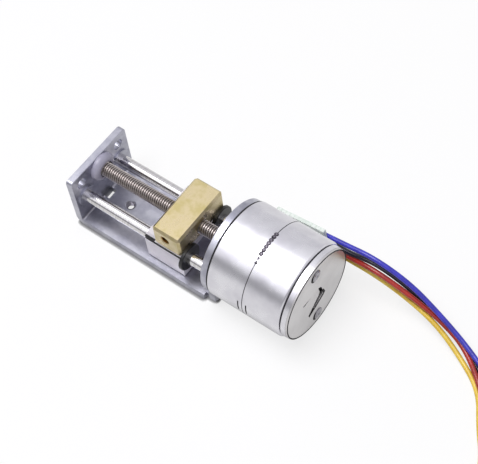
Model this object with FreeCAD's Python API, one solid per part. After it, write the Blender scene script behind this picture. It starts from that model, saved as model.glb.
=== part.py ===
import FreeCAD, Part
import math
import os

from FreeCAD import Vector

# Stepper linear actuator. A can-stack motor turns a lead screw, and the screw draws a brass
# nut block along two guide rods inside a folded steel bracket.
#
# Frame, in millimetres: the origin is the centre of the tapped hole in the bracket's base, on
# the underside. +X runs to the motor, +Z is up, and y = 0 is the plane of the screw.

# Folded bracket
axis_height = 10.8           # screw axis above the underside of the base
sheet = 1.5                  # thickness of the folded strip
inside_length = 32.5         # end wall to motor wall, inside
bracket_width = 16.6
hole_to_motor_wall = 26.5    # tapped hole to the inner face of the motor wall
end_wall_rise = 3.1          # end wall above the screw axis
end_wall_corner_r = 0.8
fold_inside_r = 0.5
fold_relief_length = 1.0     # notch in each edge of the base beside the motor fold
fold_relief_depth = 0.9
flange_inset = 0.25          # round part of the motor wall, inside the can's rim
edge_break = 0.12

# Holes in the bracket
base_tap_r = 1.0             # M2, at its nominal radius
tap_countersink = 0.15
wall_hole_r = 1.2            # clearance for M2 screws in the end wall
wall_hole_spacing = 11.2
wall_hole_rise = 0.6         # above the screw axis
lance_length = 2.4           # locating slot in the base, across
lance_width = 1.3
lance_gap = 0.02             # slot to end wall

# Guide rods
rod_r = 1.25
rod_spacing = 10.4
rod_drop = 3.9               # rods below the screw axis
rod_inset = 0.2              # rod ends sunk below the outer faces
rod_boss_r = 2.3
rod_boss_height = 0.35

# Lead screw and its running fits
screw_r = 1.5                # M3
thread_pitch = 0.5
thread_depth = 0.27
thread_runout = 0.2          # end of the thread to the motor wall
journal_r = 1.0
running_gap = 0.03           # radial, between a shaft and its bush
end_play = 0.1
end_bevel = 0.2

# Bush that carries the free end of the screw
bush_plug_r = 2.0
bush_dome_r = 3.0
bush_dome_height = 1.6
bush_mouth_r = 1.75          # counterbore round the screw
bush_crown_r = 2.15           # flat front of the dome
bush_bulge_along = 0.75      # middle of the dome's arc, as a part of its height
bush_bulge_out = 0.7         # and of the way from crown to rim

# Nut block, at its rest place
nut_rest = 19.0              # end wall to the block
nut_length = 6.5
nut_width = 14.0
nut_height = 5.2
nut_below_axis = 2.0
nut_bevel = 0.45
side_tap_r = 1.0
side_tap_depth = 3.2
side_tap_back = 2.9          # from the block's end-wall side
side_tap_rise = 0.9          # above the screw axis

# Moulded carriage under the nut block, and the liners that ride on the rods
carriage_nose = 2.6          # legs in front of the block
leg_width = 3.8
leg_base_gap = 0.35          # legs above the base
nose_round = 1.2
bridge_height = 1.4
liner_r = 1.75
liner_flange_r = 2.9
liner_flange_length = 0.7
liner_inset = 0.2
clamp_screw_r = 0.7
clamp_screw_grip = 1.0       # length in the brass
clamp_head_r = 1.0
clamp_head_leg_gap = 0.2
clamp_head_height = 0.8

# Motor housing
motor_r = 10.0
can_wall = 0.6
can_length = 8.3             # one of the two stator cups
joint_groove_width = 0.25    # between the motor wall and the can
joint_groove_depth = 0.5
seam_gap = 0.08              # open rim of each cup at the seam
seam_depth = 0.3
shoulder_r = 0.6
rear_groove_width = 0.25
rear_groove_depth = 0.35
rear_plate_inset = 0.35
rear_plate = 1.25
rear_pocket_r = 4.9
rear_pocket_depth = 0.6
weld_slot_length = 3.2       # two notches beside the seam
weld_slot_width = 0.3
weld_slot_depth = 0.35
weld_slot_offset = 0.9       # from the seam to a notch's centre line

# Claw-pole stator
pole_count = 5
tooth_inner_r = 4.95
tooth_thickness = 0.6
tooth_length = 6.2
tooth_root_deg = 28.0
tooth_tip_deg = 16.0
yoke_fit = 0.02
bobbin_gap = 0.1
bobbin_wall = 0.4
bobbin_flange = 0.5
bobbin_flange_gap = 0.2      # to the can's wall
coil_inset = 0.2             # winding inside the bobbin's flanges

# Rotor inside the stator
magnet_r = 4.65
magnet_length = 12.0
hub_r = 2.4
hub_overhang = 0.3
bearing_r = 2.6
bearing_length = 3.7
washer = 0.3
washer_gap = 0.05
rear_bearing_r = 2.2
rear_bearing_length = 1.5
rear_bearing_lead = 0.35     # bearing in front of the can's rear wall
ball_r = 0.7
ball_fit = 0.02              # ball in its seat at the end of the shaft
ball_gap = 0.04              # ball to spring tongue

# Spring plate on the rear of the motor
spring_plate = 0.4
spring_plate_inset = 0.1     # its rim inside the rear plate's rim
tongue_angle = 13.6          # tongue's line above the horizontal
tongue_shift = -0.5
tongue_root = -3.75          # along its line, from the motor axis
tongue_tip = 1.0
tongue_root_width = 5.4
tongue_tip_width = 3.0
tongue_slot = 0.58
tongue_offset = 0.12         # tongue above the middle of its slot
tongue_dip = 3.4             # degrees, bent in towards the ball
tip_round = 0.9
rivet_r = 0.8
rivet_head_r = 1.2
rivet_head = 0.3
rivet_radius = 7.0           # rivets from the motor axis
rivet_crown_r = 0.84         # flat top of the head
rivet_dimple_r = 0.45

# Terminal block and circuit board on the far side
terminal_x = 35.5            # centre of block and board along the motor
terminal_drop = 2.3          # their centre below the motor axis
terminal_length = 8.0
terminal_width = 6.6
terminal_neck = 1.0          # neck narrower than the block, each side
terminal_fit = 0.1
board_gap = 0.4              # board to can
board = 0.8
board_length = 11.0
board_width = 8.5
board_tilt = 7.5
pin_r = 0.25
pin_spread_x = 3.0
pin_spread_z = 4.0
pin_stand = 0.5              # pin above the board
pin_depth = 1.2              # pin in the block
solder_cone_r = 0.8
solder_tip_r = 0.35          # cone at the top of the pin
solder_pad_length = 1.4

# Leads: control points of each route, chosen by hand
wire_r = 0.5
tip_r = 0.25
tip_length = 3.0
wire_routes = {
    "wire_blue": [
        (39.3, 11.7, 10.3), (44.5, 11.7, 11.0), (51.0, 11.7, 12.1), (58.5, 12.4, 8.9),
        (65.5, 11.8, 5.1), (72.0, 10.3, 2.8), (78.5, 7.7, 1.4), (84.8, 3.6, 0.5),
        (89.6, -2.2, 0.5), (92.8, -8.8, 0.5), (94.0, -15.8, 0.5),
    ],
    "wire_black": [
        (39.3, 11.7, 9.0), (44.5, 11.7, 8.4), (51.0, 12.0, 10.1), (58.5, 12.6, 6.8),
        (65.5, 12.5, 2.7), (72.0, 10.8, 0.5), (78.5, 6.9, 0.5), (84.0, 2.0, 0.5),
        (88.2, -3.4, 0.5), (91.0, -9.6, 0.5), (91.8, -16.4, 0.5),
    ],
    "wire_red": [
        (39.3, 11.7, 7.7), (44.5, 11.7, 7.1), (51.0, 10.9, 9.5), (58.5, 11.4, 6.9),
        (65.5, 11.7, 3.6), (72.0, 10.4, 1.4), (78.5, 4.9, 1.7), (83.1, 0.4, 0.5),
        (86.9, -4.6, 0.5), (89.3, -10.4, 0.5), (89.7, -16.8, 0.5),
    ],
    "wire_yellow": [
        (39.3, 11.7, 6.4), (44.5, 11.7, 6.2), (51.0, 11.8, 6.1), (58.5, 11.7, 4.5),
        (65.5, 10.8, 2.9), (72.0, 8.5, 0.9), (78.5, 4.7, 0.5), (82.2, -1.6, 0.5),
        (85.6, -6.2, 0.5), (87.5, -11.4, 0.5), (87.6, -17.2, 0.5),
    ],
}

# Places that follow from the sizes above
motor_wall = hole_to_motor_wall
motor_face = motor_wall + sheet
end_wall = motor_wall - inside_length
end_face = end_wall - sheet
half_width = bracket_width / 2
fold_outside_r = fold_inside_r + sheet
rod_y = rod_spacing / 2
rod_z = axis_height - rod_drop
nut_front = end_wall + nut_rest
nut_rear = nut_front + nut_length
nut_bottom = axis_height - nut_below_axis
bridge_bottom = nut_bottom - bridge_height
clamp_screw_y = nut_width / 2 - leg_width - clamp_head_leg_gap - clamp_head_r
seam = motor_face + can_length
flange_r = motor_r - flange_inset
can_rear = seam + can_length - rear_groove_width / 2
rear_plate_r = motor_r - rear_plate_inset
plate_rear = can_rear + rear_plate
spring_rear = plate_rear + spring_plate
tooth_outer_r = tooth_inner_r + tooth_thickness
bobbin_r = tooth_outer_r + bobbin_gap
bobbin_flange_r = motor_r - can_wall - bobbin_flange_gap
coil_r = bobbin_flange_r - coil_inset
rear_bearing_front = can_rear - can_wall - rear_bearing_lead
tongue_press = -tongue_root * math.tan(math.radians(tongue_dip))
ball_x = plate_rear - tongue_press - ball_gap - ball_r
board_y = motor_r + board_gap        # inner face of the board


def bar(x0, x1, radius, y=0.0, z=axis_height):
    """Round bar along X."""
    return Part.makeCylinder(radius, x1 - x0, Vector(x0, y, z), Vector(1, 0, 0))


def sleeve(x0, x1, inner_r, outer_r, y=0.0, z=axis_height):
    """Round bar along X with a bore."""
    return bar(x0, x1, outer_r, y, z).cut(bar(x0 - 1, x1 + 1, inner_r, y, z))


def block(x0, x1, y0, y1, z0, z1):
    """Box between two corners."""
    return Part.makeBox(x1 - x0, y1 - y0, z1 - z0, Vector(x0, y0, z0))


def both_sides(make):
    """The solids that make() gives for the near side and for the far side."""
    return make(-1), make(1)


def polygon_face(points):
    return Part.Face(Part.makePolygon(points + points[:1]))


def turned(profile, y=0.0, z=axis_height):
    """Solid of revolution about a line along X, from (x, radius) points."""
    face = polygon_face([Vector(x, y, z + r) for x, r in profile])
    return face.revolve(Vector(0, y, z), Vector(1, 0, 0), 360)


def arc_xz(x, z, radius, start_deg, end_deg, y):
    """Arc in a plane of constant y, about (x, z)."""
    spots = []
    for angle in (start_deg, (start_deg + end_deg) / 2, end_deg):
        a = math.radians(angle)
        spots.append(Vector(x + radius * math.cos(a), y, z + radius * math.sin(a)))
    return Part.Arc(*spots)


def edges_where(shape, test):
    """Edges whose bounding box passes the test."""
    return [edge for edge in shape.Edges if test(edge.BoundBox)]


def same(a, b):
    return abs(a - b) < 1e-3


def strip_profile(y):
    """Closed outline of the folded strip, seen from the side."""
    top = axis_height + end_wall_rise
    left = end_face + fold_outside_r
    right = motor_face - fold_outside_r
    corners = [
        Vector(end_face, y, top), Vector(end_face, y, fold_outside_r),
        Vector(left, y, 0), Vector(right, y, 0),
        Vector(motor_face, y, fold_outside_r), Vector(motor_face, y, axis_height),
        Vector(motor_wall, y, axis_height), Vector(motor_wall, y, fold_outside_r),
        Vector(right, y, sheet), Vector(left, y, sheet),
        Vector(end_wall, y, fold_outside_r), Vector(end_wall, y, top),
    ]
    folds = {
        1: arc_xz(left, fold_outside_r, fold_outside_r, 180, 270, y),
        3: arc_xz(right, fold_outside_r, fold_outside_r, 270, 360, y),
        7: arc_xz(right, fold_outside_r, fold_inside_r, 360, 270, y),
        9: arc_xz(left, fold_outside_r, fold_inside_r, 270, 180, y),
    }
    edges = []
    for i, start in enumerate(corners):
        end = corners[(i + 1) % len(corners)]
        edges.append((folds.get(i) or Part.LineSegment(start, end)).toShape())
    return Part.Face(Part.Wire(edges))


def round_flange():
    """Upper part of the motor wall, concentric with the motor."""
    disc = turned([
        (motor_wall, 0), (motor_wall, flange_r - edge_break),
        (motor_wall + edge_break, flange_r), (motor_face - edge_break, flange_r),
        (motor_face, flange_r - edge_break), (motor_face, 0),
    ])
    reach = flange_r + 1
    below = block(motor_wall - 1, motor_face + 1, -reach, reach, -1, fold_outside_r)
    return disc.cut(below)


def bracket():
    """Folded strip with the end wall, the base and the motor wall."""
    strip = strip_profile(-half_width).extrude(Vector(0, bracket_width, 0))
    top = axis_height + end_wall_rise
    strip = strip.makeFillet(end_wall_corner_r, edges_where(
        strip, lambda box: same(box.ZMin, top) and same(abs(box.Center.y), half_width)))
    strip = strip.makeChamfer(edge_break, edges_where(
        strip, lambda box: box.XMax < motor_wall and same(abs(box.Center.y), half_width)))
    strip = strip.fuse(round_flange())
    relief_x = motor_face - fold_outside_r - fold_relief_length
    relief_y = half_width - fold_relief_depth
    for side in (-1, 1):
        y0, y1 = sorted((side * relief_y, side * (half_width + 1)))
        strip = strip.cut(block(relief_x, motor_face + 1, y0, y1, -1, fold_outside_r))
        boss = bar(end_wall, end_wall + rod_boss_height, rod_boss_r, side * rod_y, rod_z)
        strip = strip.fuse(boss)
        strip = strip.cut(bar(end_face - 1, motor_face + 1, rod_r, side * rod_y, rod_z))
        hole_y = side * wall_hole_spacing / 2
        hole_z = axis_height + wall_hole_rise
        strip = strip.cut(bar(end_face - 1, end_wall + 1, wall_hole_r, hole_y, hole_z))
    strip = strip.cut(bar(end_face - 1, end_wall + 1, bush_plug_r))
    strip = strip.cut(bar(motor_wall - 1, motor_face + 1, bearing_r))
    lance_x = end_wall + lance_gap
    strip = strip.cut(block(
        lance_x, lance_x + lance_width, -lance_length / 2, lance_length / 2,
        -1, fold_outside_r))
    strip = strip.cut(Part.makeCylinder(base_tap_r, sheet + 2, Vector(0, 0, -1)))
    strip = strip.cut(Part.makeCone(
        base_tap_r, base_tap_r + tap_countersink, tap_countersink,
        Vector(0, 0, sheet - tap_countersink)))
    return strip.removeSplitter()


def guide_rod(side):
    """Ground rod, pressed into both walls."""
    x0 = end_face + rod_inset
    x1 = motor_face - rod_inset
    return turned([
        (x0, 0), (x0, rod_r - end_bevel), (x0 + end_bevel, rod_r),
        (x1 - end_bevel, rod_r), (x1, rod_r - end_bevel), (x1, 0),
    ], side * rod_y, rod_z)


def screw_end_bush():
    """Domed plain bearing in the end wall."""
    crown = end_wall + bush_dome_height
    bore = journal_r + running_gap
    outline = [
        Part.LineSegment(Vector(end_face + end_play, 0, bore),
                         Vector(end_face + end_play, 0, bush_plug_r)),
        Part.LineSegment(Vector(end_face + end_play, 0, bush_plug_r),
                         Vector(end_wall, 0, bush_plug_r)),
        Part.LineSegment(Vector(end_wall, 0, bush_plug_r), Vector(end_wall, 0, bush_dome_r)),
        Part.Arc(
            Vector(end_wall, 0, bush_dome_r),
            Vector(end_wall + bush_dome_height * bush_bulge_along, 0,
                   bush_crown_r + (bush_dome_r - bush_crown_r) * bush_bulge_out),
            Vector(crown, 0, bush_crown_r)),
        Part.LineSegment(Vector(crown, 0, bush_crown_r), Vector(crown, 0, bush_mouth_r)),
        Part.LineSegment(Vector(crown, 0, bush_mouth_r), Vector(end_wall, 0, bush_mouth_r)),
        Part.LineSegment(Vector(end_wall, 0, bush_mouth_r), Vector(end_wall, 0, bore)),
        Part.LineSegment(Vector(end_wall, 0, bore), Vector(end_face + end_play, 0, bore)),
    ]
    face = Part.Face(Part.Wire([piece.toShape() for piece in outline]))
    face.translate(Vector(0, 0, axis_height))
    return face.revolve(Vector(0, 0, axis_height), Vector(1, 0, 0), 360)


def thread_grooves(start):
    """(x, radius) points of the thread: V grooves at its pitch and depth, as plain rings."""
    count = int((motor_wall - thread_runout - start) / thread_pitch + 0.01)
    points = []
    for i in range(count):
        x = start + i * thread_pitch
        points.append((x, screw_r))
        points.append((x + thread_pitch / 2, screw_r - thread_depth))
    points.append((start + count * thread_pitch, screw_r))
    return points


def lead_screw():
    """Screw and motor shaft in one, with a journal at each end."""
    front = end_face + rod_inset
    shoulder = end_wall + end_play
    rear_shoulder = rear_bearing_front - end_play
    seat_r = ball_r + ball_fit
    floor = ball_x - ball_r - ball_fit
    front_end = [
        (front, 0), (front, journal_r - end_bevel), (front + end_bevel, journal_r),
        (shoulder, journal_r), (shoulder, screw_r - end_bevel),
    ]
    rear_end = [
        (rear_shoulder, screw_r), (rear_shoulder, journal_r), (ball_x, journal_r),
        (ball_x, seat_r), (floor, seat_r), (floor, 0),
    ]
    return turned(front_end + thread_grooves(shoulder + end_bevel) + rear_end)


def thrust_ball():
    return Part.makeSphere(ball_r, Vector(ball_x, 0, axis_height))


def nut_block():
    """Brass block, threaded for the screw, with a tapped hole in its near side."""
    body = block(nut_front, nut_rear, -nut_width / 2, nut_width / 2,
                 nut_bottom, nut_bottom + nut_height)
    body = body.makeChamfer(nut_bevel, body.Edges)
    body = body.cut(bar(nut_front - 1, nut_rear + 1, screw_r + running_gap))
    mouth = Vector(nut_front + side_tap_back, -nut_width / 2, axis_height + side_tap_rise)
    inward = Vector(0, 1, 0)
    body = body.cut(Part.makeCylinder(side_tap_r, side_tap_depth, mouth, inward))
    return body.cut(Part.makeCone(
        side_tap_r + tap_countersink, side_tap_r, tap_countersink, mouth, inward))


def carriage():
    """White moulding that joins the nut block to the rods."""
    front = nut_front - carriage_nose
    foot = sheet + leg_base_gap
    body = block(nut_front, nut_rear, -nut_width / 2, nut_width / 2, bridge_bottom, nut_bottom)

    def leg(side):
        inner = nut_width / 2 - leg_width
        y0, y1 = sorted((side * inner, side * nut_width / 2))
        main = block(nut_front, nut_rear, y0, y1, foot, nut_bottom)
        nose = block(front, nut_front, y0, y1, foot, nut_bottom)
        nose = nose.makeFillet(nose_round, edges_where(
            nose, lambda box: same(box.ZMin, nut_bottom) and box.XLength > nose_round))
        return main.fuse(nose)

    for piece in both_sides(leg):
        body = body.fuse(piece)
    for side in (-1, 1):
        body = body.cut(bar(front - 1, nut_rear + 1, liner_r, side * rod_y, rod_z))
        body = body.cut(clamp_shank(side))
    return body.removeSplitter()


def liner(side):
    """Dark bearing liner in one leg, with a flange at the motor end."""
    bore = rod_r + running_gap
    front = nut_front - carriage_nose + liner_inset
    rear = nut_rear + liner_flange_length
    return turned([
        (front, bore), (front, liner_r), (nut_rear, liner_r), (nut_rear, liner_flange_r),
        (rear - edge_break, liner_flange_r), (rear, liner_flange_r - edge_break), (rear, bore),
    ], side * rod_y, rod_z)


def clamp_shank(side):
    spot = Vector((nut_front + nut_rear) / 2, side * clamp_screw_y, bridge_bottom)
    return Part.makeCylinder(clamp_screw_r, bridge_height + clamp_screw_grip, spot)


def clamp_screw(side):
    """Screw that holds the nut block on the carriage, from below."""
    shank = clamp_shank(side)
    foot = shank.BoundBox
    spot = Vector(foot.Center.x, foot.Center.y, bridge_bottom - clamp_head_height)
    return shank.fuse(Part.makeCylinder(clamp_head_r, clamp_head_height, spot)).removeSplitter()


def tooth(x_root, direction, angle):
    """One claw of a stator pole ring, tapering along the motor from its root."""
    mid_r = (tooth_inner_r + tooth_outer_r) / 2
    root = mid_r * math.sin(math.radians(tooth_root_deg / 2))
    tip = mid_r * math.sin(math.radians(tooth_tip_deg / 2))
    x_tip = x_root + direction * tooth_length
    plan = polygon_face([
        Vector(x_root, -root, axis_height), Vector(x_tip, -tip, axis_height),
        Vector(x_tip, tip, axis_height), Vector(x_root, root, axis_height),
    ]).extrude(Vector(0, 0, motor_r))
    x0, x1 = sorted((x_root, x_tip))
    claw = plan.common(sleeve(x0, x1, tooth_inner_r, tooth_outer_r))
    claw.rotate(Vector(0, 0, axis_height), Vector(1, 0, 0), angle)
    return claw


def with_teeth(ring, x_root, direction, first_angle):
    for i in range(pole_count):
        ring = ring.fuse(tooth(x_root, direction, first_angle + i * 360 / pole_count))
    return ring.removeSplitter()


def terminal_window():
    """Opening in the motor's wall for the neck of the terminal block."""
    half_x = terminal_length / 2 - terminal_neck + terminal_fit
    half_z = terminal_width / 2 - terminal_neck + terminal_fit
    z = axis_height - terminal_drop
    return block(terminal_x - half_x, terminal_x + half_x, bobbin_r + bobbin_wall, motor_r + 1,
                 z - half_z, z + half_z)


def weld_slot(offset):
    """Narrow notch in the near side of a cup, beside the seam."""
    x = seam + offset
    return block(x - weld_slot_width / 2, x + weld_slot_width / 2,
                 -motor_r - 1, -motor_r + weld_slot_depth,
                 axis_height - weld_slot_length / 2, axis_height + weld_slot_length / 2)


def front_stator_cup():
    """Front half of the motor's steel can, with one ring of claws."""
    rim = motor_face + joint_groove_width
    cup = turned([
        (motor_face, tooth_inner_r), (motor_face, motor_r - joint_groove_depth),
        (rim, motor_r - joint_groove_depth), (rim, motor_r - edge_break),
        (rim + edge_break, motor_r), (seam - seam_gap, motor_r),
        (seam - seam_gap, motor_r - seam_depth), (seam, motor_r - seam_depth),
        (seam, motor_r - can_wall),
        (motor_face + can_wall, motor_r - can_wall), (motor_face + can_wall, tooth_inner_r),
    ])
    cup = with_teeth(cup, motor_face + can_wall, 1, 0)
    return cup.cut(terminal_window()).cut(weld_slot(-weld_slot_offset))


def rear_stator_cup():
    """Rear half of the can, rounded at its shoulder."""
    inner = motor_r - can_wall
    shoulder = Vector(can_rear - shoulder_r, 0, motor_r)
    outline = [
        Vector(seam, 0, inner), Vector(seam, 0, motor_r - seam_depth),
        Vector(seam + seam_gap, 0, motor_r - seam_depth), Vector(seam + seam_gap, 0, motor_r),
        shoulder, Vector(can_rear, 0, motor_r - shoulder_r), Vector(can_rear, 0, tooth_inner_r),
        Vector(can_rear - can_wall, 0, tooth_inner_r), Vector(can_rear - can_wall, 0, inner),
    ]
    edges = []
    for i, start in enumerate(outline):
        end = outline[(i + 1) % len(outline)]
        if start is shoulder:
            edges.append(arc_xz(can_rear - shoulder_r, motor_r - shoulder_r,
                                shoulder_r, 90, 0, 0).toShape())
        else:
            edges.append(Part.LineSegment(start, end).toShape())
    face = Part.Face(Part.Wire(edges))
    face.translate(Vector(0, 0, axis_height))
    cup = face.revolve(Vector(0, 0, axis_height), Vector(1, 0, 0), 360)
    phase = 90 / pole_count
    cup = with_teeth(cup, can_rear - can_wall, -1, phase)
    return cup.cut(terminal_window()).cut(weld_slot(weld_slot_offset))


def inner_yoke(direction):
    """Disc at the motor's middle with the claws of one stack, towards its own cup."""
    x0, x1 = sorted((seam, seam - direction * can_wall))
    disc = sleeve(x0, x1, tooth_inner_r, motor_r - can_wall - yoke_fit)
    half_pitch = 180 / pole_count
    phase = 0 if direction > 0 else 90 / pole_count
    root = seam - direction * can_wall
    yoke = with_teeth(disc, root, -direction, half_pitch + phase)
    return yoke.cut(terminal_window())


def bobbin_span(direction):
    """Ends of the winding space of one stack, in rising order."""
    outer = motor_face + can_wall if direction > 0 else can_rear - can_wall
    inner = seam - direction * can_wall
    return sorted((outer + direction * bobbin_gap, inner - direction * bobbin_gap))


def bobbin(direction):
    """Spool between two pole rings."""
    x0, x1 = bobbin_span(direction)
    hub = bobbin_r + bobbin_wall
    return turned([
        (x0, bobbin_r), (x0, bobbin_flange_r), (x0 + bobbin_flange, bobbin_flange_r),
        (x0 + bobbin_flange, hub), (x1 - bobbin_flange, hub),
        (x1 - bobbin_flange, bobbin_flange_r), (x1, bobbin_flange_r), (x1, bobbin_r),
    ])


def coil(direction):
    """Copper winding that fills one spool."""
    x0, x1 = bobbin_span(direction)
    return sleeve(x0 + bobbin_flange, x1 - bobbin_flange, bobbin_r + bobbin_wall, coil_r)


def front_bearing():
    """Plain bearing pressed through the motor wall."""
    return sleeve(motor_wall, motor_wall + bearing_length, screw_r + running_gap, bearing_r)


def washer_start():
    return motor_wall + bearing_length + washer_gap


def thrust_washer():
    return sleeve(washer_start(), washer_start() + washer, screw_r + washer_gap, hub_r)


def magnet_start():
    return washer_start() + washer + washer_gap + hub_overhang


def magnet_hub():
    """Moulded hub that holds the ring magnet on the shaft."""
    x0 = magnet_start()
    return sleeve(x0 - hub_overhang, x0 + magnet_length + hub_overhang, screw_r, hub_r)


def rotor_magnet():
    x0 = magnet_start()
    return turned([
        (x0, hub_r), (x0, magnet_r - end_bevel), (x0 + end_bevel, magnet_r),
        (x0 + magnet_length - end_bevel, magnet_r),
        (x0 + magnet_length, magnet_r - end_bevel), (x0 + magnet_length, hub_r),
    ])


def rear_bearing():
    x0 = rear_bearing_front
    return sleeve(x0, x0 + rear_bearing_length, journal_r + running_gap, rear_bearing_r)


def rear_end_plate():
    """Plate that closes the can and carries the rear bearing."""
    groove = can_rear + rear_groove_width
    pocket = plate_rear - rear_pocket_depth
    return turned([
        (can_rear, rear_bearing_r), (can_rear, rear_plate_r - rear_groove_depth),
        (groove, rear_plate_r - rear_groove_depth), (groove, rear_plate_r),
        (plate_rear, rear_plate_r), (plate_rear, rear_pocket_r),
        (pocket, rear_pocket_r), (pocket, rear_bearing_r),
    ]).cut(rivet_shank(-1)).cut(rivet_shank(1))


def tongue_outline(margin, x):
    """Outline of the tongue in the plane of the spring plate, grown by a margin."""
    root = tongue_root
    tip = tongue_tip + margin
    wide = tongue_root_width / 2 + margin
    narrow = tongue_tip_width / 2 + margin
    corner = tip_round + margin
    flat = tip - corner
    spots = [(root, -wide), (flat, -narrow), (tip, -narrow + corner), (tip, narrow - corner),
             (flat, narrow), (root, wide)]
    bend = math.sqrt(0.5) * corner
    points = [Vector(x, u, v) for u, v in spots]
    middle_low = Vector(x, flat + bend, -narrow + corner - bend)
    middle_high = Vector(x, flat + bend, narrow - corner + bend)
    edges = [
        Part.LineSegment(points[0], points[1]), Part.Arc(points[1], middle_low, points[2]),
        Part.LineSegment(points[2], points[3]), Part.Arc(points[3], middle_high, points[4]),
        Part.LineSegment(points[4], points[5]), Part.LineSegment(points[5], points[0]),
    ]
    return Part.Face(Part.Wire([edge.toShape() for edge in edges]))


def placed_on_rear(shape):
    """Turn a shape made about the origin to the tongue's line, on the motor axis."""
    shape.translate(Vector(0, 0, tongue_shift))
    shape.rotate(Vector(0, 0, 0), Vector(1, 0, 0), tongue_angle)
    shape.translate(Vector(0, 0, axis_height))
    return shape


def end_spring_plate():
    """Thin plate whose bent tongue presses on the ball at the end of the shaft."""
    plate = turned([
        (plate_rear, 0), (plate_rear, rear_plate_r - spring_plate_inset),
        (spring_rear - edge_break, rear_plate_r - spring_plate_inset),
        (spring_rear, rear_plate_r - spring_plate_inset - edge_break), (spring_rear, 0),
    ])
    through = tongue_outline(tongue_slot, plate_rear - 1).extrude(
        Vector(spring_plate + 2, 0, 0))
    plate = plate.cut(placed_on_rear(through))
    tongue = tongue_outline(0, plate_rear).extrude(Vector(spring_plate, 0, 0))
    tongue.translate(Vector(0, 0, tongue_offset))
    tongue.rotate(Vector(spring_rear, tongue_root, 0), Vector(0, 0, 1), tongue_dip)
    plate = plate.fuse(placed_on_rear(tongue))
    for side in (-1, 1):
        plate = plate.cut(rivet_shank(side))
    return plate.removeSplitter()


def rivet_shank(side):
    z = axis_height + side * rivet_radius
    return bar(can_rear, spring_rear, rivet_r, 0, z)


def end_plate_rivet(side):
    """Headed pin that holds both rear plates."""
    z = axis_height + side * rivet_radius
    head = turned([
        (spring_rear, 0), (spring_rear, rivet_head_r), (spring_rear + rivet_head / 2, rivet_head_r),
        (spring_rear + rivet_head, rivet_crown_r), (spring_rear + rivet_head, 0),
    ], 0, z)
    head = head.cut(Part.makeSphere(
        rivet_dimple_r, Vector(spring_rear + rivet_head + rivet_dimple_r / 2, 0, z)))
    return rivet_shank(side).fuse(head).removeSplitter()


def pin_spots():
    """Place of each terminal pin, as (x, z)."""
    centre = axis_height - terminal_drop
    return [(terminal_x + i * pin_spread_x / 2, centre + k * pin_spread_z / 2)
            for i in (-1, 1) for k in (-1, 1)]


def round_post(x, z, y0, y1, radius):
    """Round bar along Y."""
    return Part.makeCylinder(radius, y1 - y0, Vector(x, y0, z), Vector(0, 1, 0))


def pin_inner():
    return board_y - pin_depth


def terminal_block():
    """Plastic block on the far side: a neck through the can's window under a wider head."""
    z = axis_height - terminal_drop
    half_x = terminal_length / 2
    half_z = terminal_width / 2
    head = block(terminal_x - half_x, terminal_x + half_x, 0, board_y, z - half_z, z + half_z)
    head = head.cut(bar(motor_face, can_rear, motor_r))
    neck_x = half_x - terminal_neck
    neck_z = half_z - terminal_neck
    neck = block(terminal_x - neck_x, terminal_x + neck_x, bobbin_flange_r + terminal_fit,
                 board_y, z - neck_z, z + neck_z)
    body = head.fuse(neck)
    for x, pin_z in pin_spots():
        body = body.cut(round_post(x, pin_z, pin_inner(), board_y + 1, pin_r))
    return body.removeSplitter()


def circuit_board():
    """Small board soldered over the pins, a little askew."""
    z = axis_height - terminal_drop
    body = block(terminal_x - board_length / 2, terminal_x + board_length / 2,
                 board_y, board_y + board, z - board_width / 2, z + board_width / 2)
    body.rotate(Vector(terminal_x, 0, z), Vector(0, 1, 0), -board_tilt)
    for x, pin_z in pin_spots():
        body = body.cut(round_post(x, pin_z, board_y - 1, board_y + board + 1, pin_r))
    return body


def terminal_pin(x, z):
    return round_post(x, z, pin_inner(), board_y + board + pin_stand, pin_r)


def solder_cone(x, z):
    """Solder fillet round one terminal pin."""
    face = board_y + board
    cone = Part.makeCone(solder_cone_r, solder_tip_r, pin_stand, Vector(x, face, z),
                         Vector(0, 1, 0))
    return cone.cut(round_post(x, z, face - 1, face + 1, pin_r))


def solder_pad(route):
    """Solder that holds the stripped end of one lead on the board."""
    x, y, z = route[0]
    face = board_y + board
    crown = bar(x - solder_pad_length, x, wire_r, y, z)
    foot = block(x - solder_pad_length, x, face, y, z - wire_r, z + wire_r)
    return crown.fuse(foot).removeSplitter()


def rounded_path(points, name):
    """Straight runs joined by tangent arcs, each as large as its two runs allow."""
    spots = [Vector(*p) for p in points]
    edges = []
    radii = []
    start = spots[0]
    for before, corner, after in zip(spots, spots[1:], spots[2:]):
        back = before - corner
        ahead = after - corner
        reach = 0.45 * min(back.Length, ahead.Length)
        turn = math.pi - back.getAngle(ahead)
        radius = reach / math.tan(turn / 2)
        radii.append(radius)
        back.normalize()
        ahead.normalize()
        entry = corner + back * reach
        leave = corner + ahead * reach
        inward = back + ahead
        inward.normalize()
        middle = corner + inward * (radius / math.cos(turn / 2) - radius)
        edges.append(Part.LineSegment(start, entry).toShape())
        edges.append(Part.Arc(entry, middle, leave).toShape())
        start = leave
    edges.append(Part.LineSegment(start, spots[-1]).toShape())
    print(name, "smallest arc radius", round(min(radii), 2), "mm")
    return Part.Wire(edges)


def lead(name, points):
    """Insulated lead as a round tube along its route."""
    path = rounded_path(points, name)
    start = Vector(*points[0])
    along = Vector(*points[1]) - start
    ring = Part.Wire([Part.makeCircle(wire_r, start, along)])
    tube = path.makePipeShell([ring], True, True)
    expected = math.pi * wire_r ** 2 * path.Length
    print(name, "length", round(path.Length, 1), "volume ratio",
          round(tube.Volume / expected, 4))
    return tube


def lead_tip(points):
    """Stripped and tinned end of a lead."""
    end = Vector(*points[-1])
    along = end - Vector(*points[-2])
    return Part.makeCylinder(tip_r, tip_length, end, along)


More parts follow.
